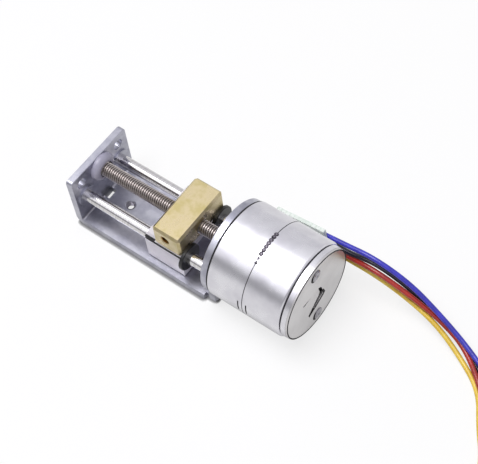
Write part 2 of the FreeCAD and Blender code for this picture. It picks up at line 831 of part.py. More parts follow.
def main():
    os.makedirs("parts", exist_ok=True)
    nodes = {
        "bracket": bracket(),
        "guide_rod_near": guide_rod(-1),
        "guide_rod_far": guide_rod(1),
        "screw_end_bush": screw_end_bush(),
        "lead_screw": lead_screw(),
        "thrust_ball": thrust_ball(),
        "nut_block": nut_block().cut(clamp_shank(-1)).cut(clamp_shank(1)),
        "carriage": carriage(),
        "liner_near": liner(-1),
        "liner_far": liner(1),
        "carriage_screws": Part.makeCompound(both_sides(clamp_screw)),
        "front_stator_cup": front_stator_cup(),
        "rear_stator_cup": rear_stator_cup(),
        "front_inner_yoke": inner_yoke(1),
        "rear_inner_yoke": inner_yoke(-1),
        "front_bobbin": bobbin(1),
        "rear_bobbin": bobbin(-1),
        "front_coil": coil(1),
        "rear_coil": coil(-1),
        "front_bearing": front_bearing(),
        "thrust_washer": thrust_washer(),
        "magnet_hub": magnet_hub(),
        "rotor_magnet": rotor_magnet(),
        "rear_bearing": rear_bearing(),
        "rear_end_plate": rear_end_plate(),
        "end_spring_plate": end_spring_plate(),
        "end_plate_rivets": Part.makeCompound(both_sides(end_plate_rivet)),
        "terminal_block": terminal_block(),
        "circuit_board": circuit_board(),
        "terminal_pins": Part.makeCompound([terminal_pin(x, z) for x, z in pin_spots()]),
        "pin_solder": Part.makeCompound([solder_cone(x, z) for x, z in pin_spots()]),
        "lead_solder": Part.makeCompound([solder_pad(r) for r in wire_routes.values()]),
    }
    for name, route in wire_routes.items():
        nodes[name] = lead(name, route)
        nodes[name + "_tip"] = lead_tip(route)
    for name, shape in nodes.items():
        shape.exportStep("parts/" + name + ".step")


main()
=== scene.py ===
import logging
import math
from dataclasses import dataclass
from enum import Enum
from functools import partial
from typing import Callable, Sequence

import bmesh
import bpy
from bmesh.types import BMEdge, BMesh, BMVert
from bpy.types import ID, Material, Mesh, Node, NodeSocket, NodeTree, Object, World
from mathutils import Matrix, Vector

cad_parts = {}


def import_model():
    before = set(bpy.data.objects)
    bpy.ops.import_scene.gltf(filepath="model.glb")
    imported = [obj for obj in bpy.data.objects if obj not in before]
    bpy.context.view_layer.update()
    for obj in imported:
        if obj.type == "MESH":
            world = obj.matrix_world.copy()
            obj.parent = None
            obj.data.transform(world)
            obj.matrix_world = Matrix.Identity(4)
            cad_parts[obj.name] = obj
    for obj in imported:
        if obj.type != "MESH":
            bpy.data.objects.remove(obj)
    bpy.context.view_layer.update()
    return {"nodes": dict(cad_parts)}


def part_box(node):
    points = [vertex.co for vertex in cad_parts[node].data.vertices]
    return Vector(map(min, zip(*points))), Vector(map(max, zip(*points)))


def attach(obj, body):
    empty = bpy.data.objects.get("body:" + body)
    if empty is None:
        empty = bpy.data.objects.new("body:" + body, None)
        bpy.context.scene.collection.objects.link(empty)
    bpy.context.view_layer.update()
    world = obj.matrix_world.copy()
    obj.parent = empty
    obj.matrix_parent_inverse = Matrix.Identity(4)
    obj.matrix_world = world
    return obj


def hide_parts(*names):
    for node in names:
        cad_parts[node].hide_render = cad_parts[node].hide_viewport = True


# Stepper linear actuator. The rigid solids come from the frame. This script adds the threads,
# the welds, the solder, the board's copper, dark pieces of painted shade in the joints, slots,
# pocket and groove, and the leads, and gives every surface its finish. Lengths are in metres,
# worked out from millimetres.

MM = 0.001
TURN = 2 * math.pi
WHITE = (1.0, 1.0, 1.0, 1.0)
SAME_POINT = 1e-7           # points nearer than this count as one
CAD_BEND_DEG = 30.0         # facets of a solid's round face bend less than this
Nodes = dict[str, Object]
Pair = tuple[float, float]
Spot = tuple[float, float, float]
Fill = Callable[[BMesh], None]
log = logging.getLogger("actuator")


class Body(str, Enum):
    """The rigid bodies of the mechanism."""

    HOUSING = "housing"
    ROTOR = "rotor"
    SLIDER = "slider"


class Way(Enum):
    """Direction in which a shape made along local Z is laid: its turn, and about which axis."""

    PLUS_X = (math.pi / 2, "Y")
    PLUS_Y = (-math.pi / 2, "X")
    MINUS_Y = (math.pi / 2, "X")

    def at(self, x: float, y: float, z: float) -> Matrix:
        """Matrix that lays the shape this way at a spot."""
        return Matrix.Translation((x, y, z)) @ Matrix.Rotation(self.value[0], 4, self.value[1])


def srgb(code: str, alpha: float = 1.0) -> tuple[float, float, float, float]:
    """Turns an sRGB hex colour to linear light.

    Args:
        code: Six hex digits.
        alpha: Opacity to add.

    Returns:
        Linear red, green, blue and the opacity.
    """
    channels = [int(code[i:i + 2], 16) / 255 for i in (0, 2, 4)]
    linear = [c / 12.92 if c <= 0.04045 else ((c + 0.055) / 1.055) ** 2.4 for c in channels]
    return linear[0], linear[1], linear[2], alpha


def add_node(tree: NodeTree, kind: str, settings: dict | None = None,
             links: dict | None = None) -> Node:
    """Adds one shader node with its settings and links.

    Args:
        tree: Node tree to add to.
        kind: Blender's name for the node.
        settings: Values by input name or number, or by the node's own property name.
        links: Sockets that feed the node, by input name or number.

    Returns:
        The new node.
    """
    node = tree.nodes.new(kind)
    for key, value in (settings or {}).items():
        if isinstance(key, int) or key in node.inputs:
            node.inputs[key].default_value = value
        else:
            setattr(node, key, value)
    for key, socket in (links or {}).items():
        tree.links.new(socket, node.inputs[key])
    return node


def empty_tree(owner: Material | World) -> NodeTree:
    """Turns on the nodes of a material or world and empties its tree.

    Args:
        owner: The material or world.

    Returns:
        The empty node tree.
    """
    owner.use_nodes = True
    owner.node_tree.nodes.clear()
    return owner.node_tree


def put(name: str, data: ID) -> Object:
    """Adds an object to the scene.

    Args:
        name: Name of the object.
        data: Its mesh, curve, camera or light.

    Returns:
        The new object.
    """
    made = bpy.data.objects.new(name, data)
    bpy.context.scene.collection.objects.link(made)
    return made


@dataclass(frozen=True)
class Noise:
    """Soft noise on a surface."""

    size: float                         # width of a patch
    stretch: Spot = (1, 1, 1)           # small where patches are long
    detail: float = 3.0                 # octaves of finer noise
    fading: float = 0.55                # strength of an octave, as a part of the one before

    def socket(self, tree: NodeTree, place: NodeSocket) -> NodeSocket:
        """Adds the noise to a material.

        Args:
            tree: Node tree to add to.
            place: Spot on the piece, in metres.

        Returns:
            Socket with values from 0 to 1.
        """
        pulled = add_node(tree, "ShaderNodeMapping", {"Scale": self.stretch}, {"Vector": place})
        noise = add_node(tree, "ShaderNodeTexNoise",
                         {"Scale": 1 / self.size, "Detail": self.detail,
                          "Roughness": self.fading}, {"Vector": pulled.outputs["Vector"]})
        return noise.outputs["Fac"]


Marks = tuple[tuple[Noise, float], ...]     # each with its real depth in metres


@dataclass(frozen=True)
class Finish:
    """One real surface: colour and gloss that change with a pattern, and marks of real depth."""

    name: str
    colour: str
    roughness: float
    metallic: float = 0.0
    shade: str = "808080"               # tone where the pattern is low
    patches: Noise = Noise(3.0 * MM)
    change: Pair = (0.35, 0.65)         # where in the pattern the tone changes
    uneven: Pair = (1.0, 1.0)           # roughness in the shade and in the colour, as multiples
    depth: float = 0.0                  # of the pattern itself

    def tones(self) -> tuple[str, str]:
        """Colours where the pattern is low and where it is high."""
        return self.shade, self.colour

    def pattern(self, tree: NodeTree, place: NodeSocket) -> tuple[NodeSocket, NodeSocket]:
        """Adds the pattern of the tone and of the gloss, which can be the same.

        Args:
            tree: Node tree to add to.
            place: Spot on the piece, in metres.

        Returns:
            Sockets with values from 0 to 1.
        """
        noise = self.patches.socket(tree, place)
        return noise, noise

    def marks(self) -> Marks:
        """Other marks on the surface."""
        return ()

    def inside(self) -> dict[str, object]:
        """Settings for light that enters the surface."""
        return {}

    def material(self) -> Material:
        """The material, made the first time that it is asked for.

        Returns:
            The Blender material of this finish.
        """
        found = bpy.data.materials.get(self.name)
        if found is not None:
            return found
        made = bpy.data.materials.new(self.name)
        made.diffuse_color = srgb(self.colour)
        tree = empty_tree(made)
        place = add_node(tree, "ShaderNodeTexCoord").outputs["Object"]
        pattern, wear = self.pattern(tree, place)
        tone = add_node(tree, "ShaderNodeValToRGB", links={"Fac": pattern})
        low, high = tone.color_ramp.elements
        low.position, high.position = self.change
        low.color, high.color = (srgb(code) for code in self.tones())
        dull, shiny = (self.roughness * multiple for multiple in self.uneven)
        gloss = add_node(tree, "ShaderNodeMapRange", {"To Min": dull, "To Max": shiny},
                         {"Value": wear})
        links = {"Base Color": tone.outputs["Color"], "Roughness": gloss.outputs["Result"]}
        heights = [(pattern, self.depth)] if self.depth else []
        heights += [(noise.socket(tree, place), depth) for noise, depth in self.marks()]
        for height, depth in heights:
            below = {"Normal": links["Normal"]} if "Normal" in links else {}
            bump = add_node(tree, "ShaderNodeBump", {"Strength": 1.0, "Distance": depth},
                            {"Height": height, **below})
            links["Normal"] = bump.outputs["Normal"]
        shader = add_node(tree, "ShaderNodeBsdfPrincipled", {
            "Base Color": srgb(self.colour), "Roughness": self.roughness,
            "Metallic": self.metallic, **self.inside(),
        }, links)
        add_node(tree, "ShaderNodeOutputMaterial", links={"Surface": shader.outputs["BSDF"]})
        return made

    def dress(self, *pieces: Object) -> None:
        """Gives the pieces this finish and no other."""
        for piece in pieces:
            piece.data.materials.clear()
            piece.data.materials.append(self.material())


@dataclass(frozen=True)
class PlatedSheet(Finish):
    """Rolled steel sheet, zinc plated: satin, with faint clouds and a grain along the strip."""

    shade: str = "9d9daa"
    patches: Noise = Noise(2.4 * MM)
    uneven: Pair = (1.2, 0.85)
    grain: float = 0.28 * MM
    grain_depth: float = 2.5e-6

    def marks(self) -> Marks:
        """The rolling grain, drawn coarser than it really is."""
        return ((Noise(self.grain, stretch=(0.06, 1, 1), detail=2.0), self.grain_depth),)


@dataclass(frozen=True)
class DrawnCan(Finish):
    """Deep-drawn steel shell under satin nickel: faint rings round it and soft stains."""

    shade: str = "cccad1"
    patches: Noise = Noise(5.0 * MM)
    change: Pair = (0.3, 0.6)
    uneven: Pair = (1.15, 0.9)
    ring: float = 0.35 * MM
    ring_depth: float = 2.0e-6
    dent: float = 3.0 * MM
    dent_depth: float = 6.0e-5

    def marks(self) -> Marks:
        """Soft dents, and draw rings that change along the axis."""
        return ((Noise(self.dent, detail=1.0), self.dent_depth),
                (Noise(self.ring, stretch=(1, 0.02, 0.02), detail=2.0), self.ring_depth))


@dataclass(frozen=True)
class TurnedMetal(Finish):
    """Ground or turned bar: clean, with very fine rings round it, some of them duller."""

    shade: str = "b9b6b6"
    patches: Noise = Noise(0.2 * MM, stretch=(1, 0.05, 0.05), detail=2.0)
    change: Pair = (0.25, 0.6)
    depth: float = 1.2e-6


@dataclass(frozen=True)
class RolledThread(Finish):
    """Cold-rolled thread: polished crests, and roots that are darker and duller."""

    shade: str = "5c5452"
    patches: Noise = Noise(0.4 * MM)
    change: Pair = (0.3, 0.85)
    uneven: Pair = (1.724, 1.0)         # the roots are duller
    axis_z: float = 10.8 * MM
    root_r: float = 1.22 * MM
    crest_r: float = 1.46 * MM
    share: float = 0.66                 # brings the sum of height and noise back to 0 to 1

    def pattern(self, tree: NodeTree, place: NodeSocket) -> tuple[NodeSocket, NodeSocket]:
        """Tone and gloss by the distance from the screw's axis, the tone with noise as well.

        Args:
            tree: Node tree to add to.
            place: Spot on the piece, in metres.

        Returns:
            Sockets with values from 0 to 1.
        """
        flat = add_node(tree, "ShaderNodeVectorMath",
                        {"operation": "MULTIPLY_ADD", 1: (0, 1, 1), 2: (0, 0, -self.axis_z)},
                        {0: place})
        reach = add_node(tree, "ShaderNodeVectorMath", {"operation": "LENGTH"},
                         {0: flat.outputs["Vector"]})
        crest = add_node(tree, "ShaderNodeMapRange",
                         {"From Min": self.root_r, "From Max": self.crest_r},
                         {"Value": reach.outputs["Value"]}).outputs["Result"]
        worn = add_node(tree, "ShaderNodeMath", {"operation": "ADD"},
                        {0: crest, 1: self.patches.socket(tree, place)})
        tone = add_node(tree, "ShaderNodeMath", {"operation": "MULTIPLY", 1: self.share},
                        {0: worn.outputs[0]})
        return tone.outputs[0], crest


@dataclass(frozen=True)
class MilledBrass(Finish):
    """Free-cutting brass, milled and a little tarnished: olive patches between bright ones."""

    patches: Noise = Noise(2.2 * MM, detail=4.0)
    change: Pair = (0.36, 0.56)
    uneven: Pair = (1.35, 0.8)
    cut: float = 0.3 * MM
    cut_depth: float = 3.0e-6

    def marks(self) -> Marks:
        """Lines of the milling tool across the block."""
        return ((Noise(self.cut, stretch=(1, 0.08, 0.6), detail=2.0), self.cut_depth),)


@dataclass(frozen=True)
class Moulding(Finish):
    """Injection-moulded plastic: even colour, soft gloss and a fine skin texture."""

    uneven: Pair = (1.12, 0.9)
    scatter: float = 0.0
    reach: float = 0.4 * MM             # how deep light enters
    skin: float = 0.22 * MM
    skin_depth: float = 3.0e-6

    def marks(self) -> Marks:
        """The mould's spark texture."""
        return ((Noise(self.skin, detail=2.0), self.skin_depth),)

    def inside(self) -> dict[str, object]:
        """Light that enters the plastic and comes out warmer."""
        return {"Subsurface Weight": self.scatter, "Subsurface Radius": (1.0, 0.9, 0.8),
                "Subsurface Scale": self.reach}


@dataclass(frozen=True)
class Sheath(Finish):
    """Extruded PVC insulation: glossy, slightly wavy, with a shade change along it."""

    patches: Noise = Noise(2.4 * MM)
    uneven: Pair = (1.25, 0.85)
    ior: float = 1.53
    wave: float = 1.6 * MM
    wave_depth: float = 6.0e-6

    def marks(self) -> Marks:
        """The soft waves of the extrusion."""
        return ((Noise(self.wave, detail=2.0), self.wave_depth),)

    def inside(self) -> dict[str, object]:
        """The plastic's index of refraction."""
        return {"IOR": self.ior}


@dataclass(frozen=True)
class Laminate(Finish):
    """Glass-epoxy board under a pale green mask: the weave shows faintly through."""

    shade: str = "d2dbd5"
    change: Pair = (0.05, 0.5)
    uneven: Pair = (1.0, 0.7)
    weave: float = 0.5 * MM
    slack: float = 0.6                  # how far the threads stray from a straight line

    def pattern(self, tree: NodeTree, place: NodeSocket) -> tuple[NodeSocket, NodeSocket]:
        """Two crossing sets of glass threads, half a millimetre apart.

        Args:
            tree: Node tree to add to.
            place: Spot on the piece, in metres.

        Returns:
            The same socket twice, with values from 0 to 1.
        """
        along, across = (
            add_node(tree, "ShaderNodeTexWave",
                     {"Scale": 1 / self.weave / TURN, "bands_direction": axis,
                      "Distortion": self.slack, "Detail": 1.0}, {"Vector": place})
            for axis in ("X", "Z"))
        cloth = add_node(tree, "ShaderNodeMath", {"operation": "MULTIPLY"},
                         {0: along.outputs["Fac"], 1: across.outputs["Fac"]}).outputs[0]
        return cloth, cloth


@dataclass(frozen=True)
class SolderMetal(Finish):
    """Tin solder or tinned wire: bright, rippled where it ran, with a grey skin in places."""

    shade: str = "a6a5a8"
    patches: Noise = Noise(0.35 * MM)
    uneven: Pair = (1.5, 0.8)
    depth: float = 8.0e-6


@dataclass(frozen=True)
class WeldMetal(Finish):
    """Remelted steel of a laser weld: bright, with heat tint every half a millimetre."""

    shade: str = "1d1a20"
    patches: Noise = Noise(0.42 * MM, detail=2.0)
    change: Pair = (0.44, 0.56)
    uneven: Pair = (1.3, 0.8)


@dataclass(frozen=True)
class Winding(Finish):
    """Enamelled copper wire, laid turn beside turn."""

    shade: str = "5f2513"
    change: Pair = (0.1, 0.6)
    depth: float = 0.04 * MM
    wire: float = 0.16 * MM

    def pattern(self, tree: NodeTree, place: NodeSocket) -> tuple[NodeSocket, NodeSocket]:
        """Turns of wire as rounded bands that follow each other along the axis.

        Args:
            tree: Node tree to add to.
            place: Spot on the piece, in metres.

        Returns:
            The same socket twice, with values from 0 to 1.
        """
        turns = add_node(tree, "ShaderNodeTexWave",
                         {"Scale": 1 / self.wire / TURN, "bands_direction": "X",
                          "wave_profile": "SIN"}, {"Vector": place}).outputs["Fac"]
        return turns, turns


@dataclass(frozen=True)
class Granular(Finish):
    """Pressed or sintered material: matt, with dark pores, drawn coarser so that they show."""

    shade: str = "1c1b1d"
    change: Pair = (0.3, 0.9)
    depth: float = 1.0e-5
    grit: float = 0.25 * MM

    def tones(self) -> tuple[str, str]:
        """Grains where the pattern is low, pores between them."""
        return self.colour, self.shade

    def pattern(self, tree: NodeTree, place: NodeSocket) -> tuple[NodeSocket, NodeSocket]:
        """Grains a quarter of a millimetre wide.

        Args:
            tree: Node tree to add to.
            place: Spot on the piece, in metres.

        Returns:
            The same socket twice, with the distance from a grain's middle.
        """
        grains = add_node(tree, "ShaderNodeTexVoronoi", {"Scale": 1 / self.grit},
                          {"Vector": place}).outputs["Distance"]
        return grains, grains


ZINC_PLATED_STEEL = PlatedSheet("zinc_plated_steel_sheet", "b8b8c2", 0.33, 1.0)
NICKEL_PLATED_CAN = DrawnCan("nickel_plated_drawn_steel", "dddce1", 0.27, 1.0)
SPRING_STEEL = DrawnCan("nickel_plated_spring_steel", "d2d0d1", 0.36, 1.0, ring=0.6 * MM,
                        shade="c8c6c7")
GROUND_ROD_STEEL = TurnedMetal("ground_and_polished_steel", "d6d4d5", 0.1, 1.0, shade="bdbaba")
ROLLED_SCREW_STEEL = RolledThread("rolled_thread_steel", "b9b2b0", 0.29, 1.0)
ZINC_SCREW_STEEL = TurnedMetal("zinc_plated_screw_steel", "c2c1c4", 0.32, 1.0)
PRESSED_IRON = TurnedMetal("pressed_soft_iron", "b4b3b6", 0.38, 1.0, shade="97969a")
RIVET_STEEL = TurnedMetal("nickel_plated_rivet_steel", "97959b", 0.16, 1.0, shade="848288")
MACHINED_BRASS = MilledBrass("milled_brass", "c9ba95", 0.27, 1.0, shade="b7a979")
TAPPED_BRASS = MilledBrass("tapped_brass_thread", "b98a3e", 0.3, 1.0, shade="7a5a26")
TAPPED_STEEL = TurnedMetal("tapped_steel_thread", "8d8a94", 0.3, 1.0, shade="625f69")
WHITE_ACETAL = Moulding("moulded_white_acetal", "dedae2", 0.38, shade="d3ced9",
                        scatter=0.25, reach=0.6 * MM)
BLACK_ACETAL = Moulding("moulded_black_acetal", "0d0c0f", 0.34, shade="09080a")
GREY_ACETAL = Moulding("moulded_grey_acetal", "a6a3b6", 0.36, shade="9a97ab",
                       scatter=0.1, reach=0.3 * MM)
WHITE_NYLON = Moulding("moulded_white_nylon", "e6e4df", 0.42, shade="dbd9d2",
                       scatter=0.3, reach=0.6 * MM)
BOARD_LAMINATE = Laminate("green_masked_glass_epoxy", "dfe5e1", 0.34)
# Painted shade: nearly black, matt sheets in the grooves, slots, pocket and joints.
PAINTED_SHADE_BLACK = Moulding("painted_shade_black", "151318", 0.8, shade="0e0c10")
TINNED_COPPER = SolderMetal("tinned_copper_wire", "d6d5d8", 0.22, 1.0)
TIN_SOLDER = SolderMetal("tin_solder", "dad9dc", 0.2, 1.0)
BOARD_COPPER = SolderMetal("tinned_board_copper", "cfcdc9", 0.26, 1.0, patches=Noise(0.6 * MM))
LASER_WELD = WeldMetal("laser_welded_steel", "57525c", 0.5, 0.75)
WELD_CRATER = WeldMetal("remelted_bright_steel", "8c8790", 0.5, 0.9, shade="5e5963")
ENAMELLED_COPPER = Winding("enamelled_copper_winding", "b5532c", 0.32, 0.6)
SINTERED_BRONZE = Granular("oil_filled_sintered_bronze", "8f6b3f", 0.42, 1.0, shade="3a2a18")
FERRITE_MAGNET = Granular("moulded_ferrite_magnet", "2f2f33", 0.6, 0.0)
BLUE_PVC = Sheath("extruded_blue_pvc", "3b38c0", 0.3, shade="2c289c")
BLACK_PVC = Sheath("extruded_black_pvc", "17122e", 0.28, shade="100c22")
RED_PVC = Sheath("extruded_red_pvc", "b02a20", 0.3, shade="8f1f18")
YELLOW_PVC = Sheath("extruded_yellow_pvc", "e8cb52", 0.32, shade="d9b53a")


def shade_smooth(piece: Object, degrees: float) -> None:
    """Shades a mesh smooth, apart from edges that bend more than the angle."""
    piece.data.polygons.foreach_set("use_smooth", [True] * len(piece.data.polygons))
    piece.data.set_sharp_from_angle(angle=math.radians(degrees))


def close_seams(*pieces: Object) -> None:
    """Joins the facets of each solid where a round face meets itself, so it shades evenly.

    Args:
        pieces: Solids from the frame.
    """
    for piece in pieces:
        piece.modifiers.new("closed_seam", "WELD").merge_threshold = SAME_POINT
        corners = piece.modifiers.new("kept_corners", "EDGE_SPLIT")
        corners.split_angle = math.radians(CAD_BEND_DEG)


def mesh_from(name: str, build: Fill) -> Mesh:
    """Makes a mesh whose faces all look outwards.

    Args:
        name: Name of the mesh.
        build: Fills the mesh, in metres in the frame of the part.

    Returns:
        The new mesh.
    """
    mesh = bpy.data.meshes.new(name)
    bm = bmesh.new()
    build(bm)
    bmesh.ops.recalc_face_normals(bm, faces=bm.faces)
    bm.to_mesh(mesh)
    bm.free()
    return mesh


def piece_from(name: str, build: Fill, finish: Finish, body: Body,
               smooth_deg: float = 35.0) -> Object:
    """Makes a mesh piece that rides on a body.

    Args:
        name: Name of the piece.
        build: Fills the mesh, in metres in the frame of the part.
        finish: Finish of the whole piece.
        body: Body that carries it.
        smooth_deg: Edges that bend less than this are shaded smooth.

    Returns:
        The new object.
    """
    piece = put(name, mesh_from(name, build))
    shade_smooth(piece, smooth_deg)
    finish.dress(piece)
    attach(piece, body.value)
    log.info("built %s with %d faces", name, len(piece.data.polygons))
    return piece


def join(bm: BMesh, part: BMesh, place: Matrix) -> None:
    """Moves a part into place and adds it to a mesh.

    Args:
        bm: Mesh to add to.
        part: Mesh to add, which is used up.
        place: Place of the part.
    """
    bmesh.ops.transform(part, matrix=place, verts=part.verts)
    scratch = bpy.data.meshes.new("scratch")
    part.to_mesh(scratch)
    part.free()
    bm.from_mesh(scratch)
    bpy.data.meshes.remove(scratch)


def skin(bm: BMesh, rings: Sequence[Sequence[BMVert]]) -> None:
    """Joins rings of points with faces.

    Args:
        bm: Mesh to add to.
        rings: Rings of equally many points. A tip is one point, as often as a ring has points.
    """
    for low, high in zip(rings, rings[1:]):
        for i in range(len(low)):
            corners = [low[i - 1], low[i], high[i], high[i - 1]]
            face = [v for k, v in enumerate(corners) if v is not corners[k - 1]]
            if len(face) > 2:
                bm.faces.new(face)


def circle(bm: BMesh, radius: float, height: float, place: Matrix, steps: int) -> list[BMVert]:
    """Adds a ring of points round local Z, or its tip where the radius is 0.

    Args:
        bm: Mesh to add to.
        radius: Radius of the ring.
        height: Height on local Z.
        place: Turns local Z to the axis of the ring.
        steps: Points in the ring.

    Returns:
        The points.
    """
    if radius <= 0:
        return [bm.verts.new(place @ Vector((0, 0, height)))] * steps
    turns = [TURN * i / steps for i in range(steps)]
    return [bm.verts.new(place @ Vector((radius * math.cos(turn), radius * math.sin(turn),
                                         height))) for turn in turns]


def lathe(bm: BMesh, outline: Sequence[Pair], place: Matrix, steps: int = 48) -> None:
    """Adds a closed solid of revolution.

    Args:
        bm: Mesh to add to.
        outline: (height, radius) points. The first and last lie on the axis or share a radius.
        place: Turns local Z to the axis of the solid.
        steps: Facets round the axis.
    """
    rings = [circle(bm, radius, height, place, steps) for height, radius in outline]
    if outline[0][1] > 0:
        rings.append(rings[0])
    skin(bm, rings)


def washer(bm: BMesh, inner: float, outer: float, thickness: float,
           place: Matrix, steps: int = 48) -> None:
    """Adds a flat ring that stands on local Z 0."""
    lathe(bm, [(0.0, inner), (0.0, outer), (thickness, outer), (thickness, inner)], place, steps)


@dataclass(frozen=True)
class MetricThread:
    """Sixty-degree right-handed thread, swept along its helix."""

    major_r: float
    pitch: float
    steps: int = 48
    height_share: float = 0.6134        # depth of the thread, as a part of the pitch
    crest_share: float = 0.125
    flank_deg: float = 30.0             # of each flank, from square to the axis

    @property
    def minor_r(self) -> float:
        """Radius at the bottom of the thread."""
        return self.major_r - self.height_share * self.pitch

    def profile(self, outside: bool) -> list[Pair]:
        """Corners of one turn's outline.

        Args:
            outside: True for a screw, False for a tapped hole, whose narrow flats are inside.

        Returns:
            (part of the pitch, radius) points.
        """
        flank = self.height_share * math.tan(math.radians(self.flank_deg))
        valley = 1 - self.crest_share - 2 * flank
        low, high = (self.minor_r, self.major_r) if outside else (self.major_r, self.minor_r)
        return [(0.0, low), (valley, low), (valley + flank, high),
                (valley + flank + self.crest_share, high)]

    def helix(self, bm: BMesh, length: float, outside: bool) -> tuple[list[BMEdge], ...]:
        """Adds the helical surface along local Z, cut square at both ends.

        Args:
            bm: Mesh to add to.
            length: Length of the threaded part.
            outside: True for a screw, False for a tapped hole.

        Returns:
            Open edges at the start and at the end.
        """
        profile = self.profile(outside)
        early, spare = 1.5, 2       # turns before the start, and turns more than the length has
        rows = []
        for s in range((math.ceil(length / self.pitch) + spare) * self.steps + 1):
            turn = TURN * s / self.steps
            rows.append([
                bm.verts.new((radius * math.cos(turn), radius * math.sin(turn),
                              (s / self.steps + share - early) * self.pitch))
                for share, radius in profile])
        last = len(profile) - 1
        for s, (row, after) in enumerate(zip(rows, rows[1:])):
            for m in range(last):
                bm.faces.new((row[m], after[m], after[m + 1], row[m + 1]))
            if s + self.steps + 1 < len(rows):
                bm.faces.new((row[last], after[last],
                              rows[s + self.steps + 1][0], rows[s + self.steps][0]))
        for height, way in ((0.0, -1), (length, 1)):
            bmesh.ops.bisect_plane(bm, geom=bm.verts[:] + bm.edges[:] + bm.faces[:],
                                   dist=SAME_POINT / 10, plane_co=(0, 0, height),
                                   plane_no=(0, 0, way), clear_outer=True)
        return tuple([e for e in bm.edges if e.is_boundary
                      and all(abs(v.co.z - height) < SAME_POINT for v in e.verts)]
                     for height in (0.0, length))

    def screw(self, bm: BMesh, length: float, place: Matrix) -> None:
        """Adds a closed threaded bar.

        Args:
            bm: Mesh to add to.
            length: Length of the bar, from local Z 0.
            place: Turns local Z to the axis of the bar.
        """
        part = bmesh.new()
        for edges in self.helix(part, length, True):
            bmesh.ops.edgeloop_fill(part, edges=edges)
        join(bm, part, place)

    def lining(self, bm: BMesh, length: float, back: float, place: Matrix) -> None:
        """Adds the thread that lines a tapped hole.

        Args:
            bm: Mesh to add to.
            length: Depth of the threaded part.
            back: How far the lining reaches into the wall.
            place: Turns local Z to the axis of the hole.
        """
        part = bmesh.new()
        rings = []
        for height, edges in zip((0.0, length), self.helix(part, length, False)):
            ring = circle(part, self.major_r + back, height, Matrix.Identity(4), self.steps)
            rim = [part.edges.new((ring[i - 1], ring[i])) for i in range(self.steps)]
            bmesh.ops.triangle_fill(part, edges=edges + rim, use_beauty=True)
            rings.append(ring)
        skin(part, rings)
        join(bm, part, place)


@dataclass(frozen=True)
class TappedHole:
    """The actuator's size of mounting hole: its thread, which ends at a countersink."""

    thread: MetricThread = MetricThread(1.0 * MM, 0.4 * MM, 40)
    countersink: float = 0.15 * MM
    back: float = 0.02 * MM

    def line(self, bm: BMesh, depth: float, place: Matrix) -> None:
        """Adds the thread between the floor of a hole at local Z 0 and its countersink."""
        self.thread.lining(bm, depth - self.countersink, self.back, place)


@dataclass(frozen=True)
class ScrewDrive:
    """The lead screw, which is also the motor's shaft."""

    axis_z: float
    thread: MetricThread = MetricThread(1.5 * MM, 0.5 * MM)
    thread_end: float = 26.3 * MM
    journal_r: float = 1.0 * MM
    shoulder_inset: float = 1.4 * MM    # front journal's length
    rear_journal: float = 1.337 * MM    # rear journal's length
    edge_break: float = 0.15 * MM

    def screw(self, bm: BMesh) -> None:
        """Adds the thread, the front journal and the plain rear shaft.

        Args:
            bm: Mesh to add to.
        """
        low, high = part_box("lead_screw")
        shoulder, rear = low.x + self.shoulder_inset, high.x - self.rear_journal
        small, big, bevel = self.journal_r, self.thread.major_r, self.edge_break
        self.thread.screw(bm, self.thread_end - shoulder,
                          Way.PLUS_X.at(shoulder, 0, self.axis_z))
        for outline in (
                [(low.x, 0), (low.x, small - bevel), (low.x + bevel, small),
                 (shoulder, small), (shoulder, 0)],
                [(self.thread_end, 0), (self.thread_end, big - bevel),
                 (self.thread_end + bevel, big), (rear, big), (rear, small),
                 (high.x, small), (high.x, 0)]):
            lathe(bm, outline, Way.PLUS_X.at(0, 0, self.axis_z))

    def build(self, nodes: Nodes) -> None:
        """Builds the threaded screw in place of the plain one and dresses what turns.

        Args:
            nodes: The frame's nodes by name.
        """
        screw = piece_from("threaded_lead_screw", self.screw, ROLLED_SCREW_STEEL, Body.ROTOR)
        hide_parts("lead_screw")
        WHITE_NYLON.dress(nodes["magnet_hub"])
        FERRITE_MAGNET.dress(nodes["rotor_magnet"])
        GROUND_ROD_STEEL.dress(nodes["thrust_ball"])


@dataclass(frozen=True)
class FoldedBracket:
    """The bracket with its rods, the screw's front bush and the tapped hole in the base."""

    sheet: float = 1.5 * MM
    tap: TappedHole = TappedHole()

    def build(self, nodes: Nodes) -> None:
        """Builds the thread in the base and dresses the bracket's pieces.

        Args:
            nodes: The frame's nodes by name.
        """
        thread = partial(self.tap.line, depth=self.sheet, place=Matrix.Identity(4))
        piece_from("base_tap_thread", thread, TAPPED_STEEL, Body.HOUSING)
        rods = nodes["guide_rod_near"], nodes["guide_rod_far"]
        ZINC_PLATED_STEEL.dress(nodes["bracket"])
        GROUND_ROD_STEEL.dress(*rods)
        close_seams(nodes["bracket"], *rods)
        GREY_ACETAL.dress(nodes["screw_end_bush"])


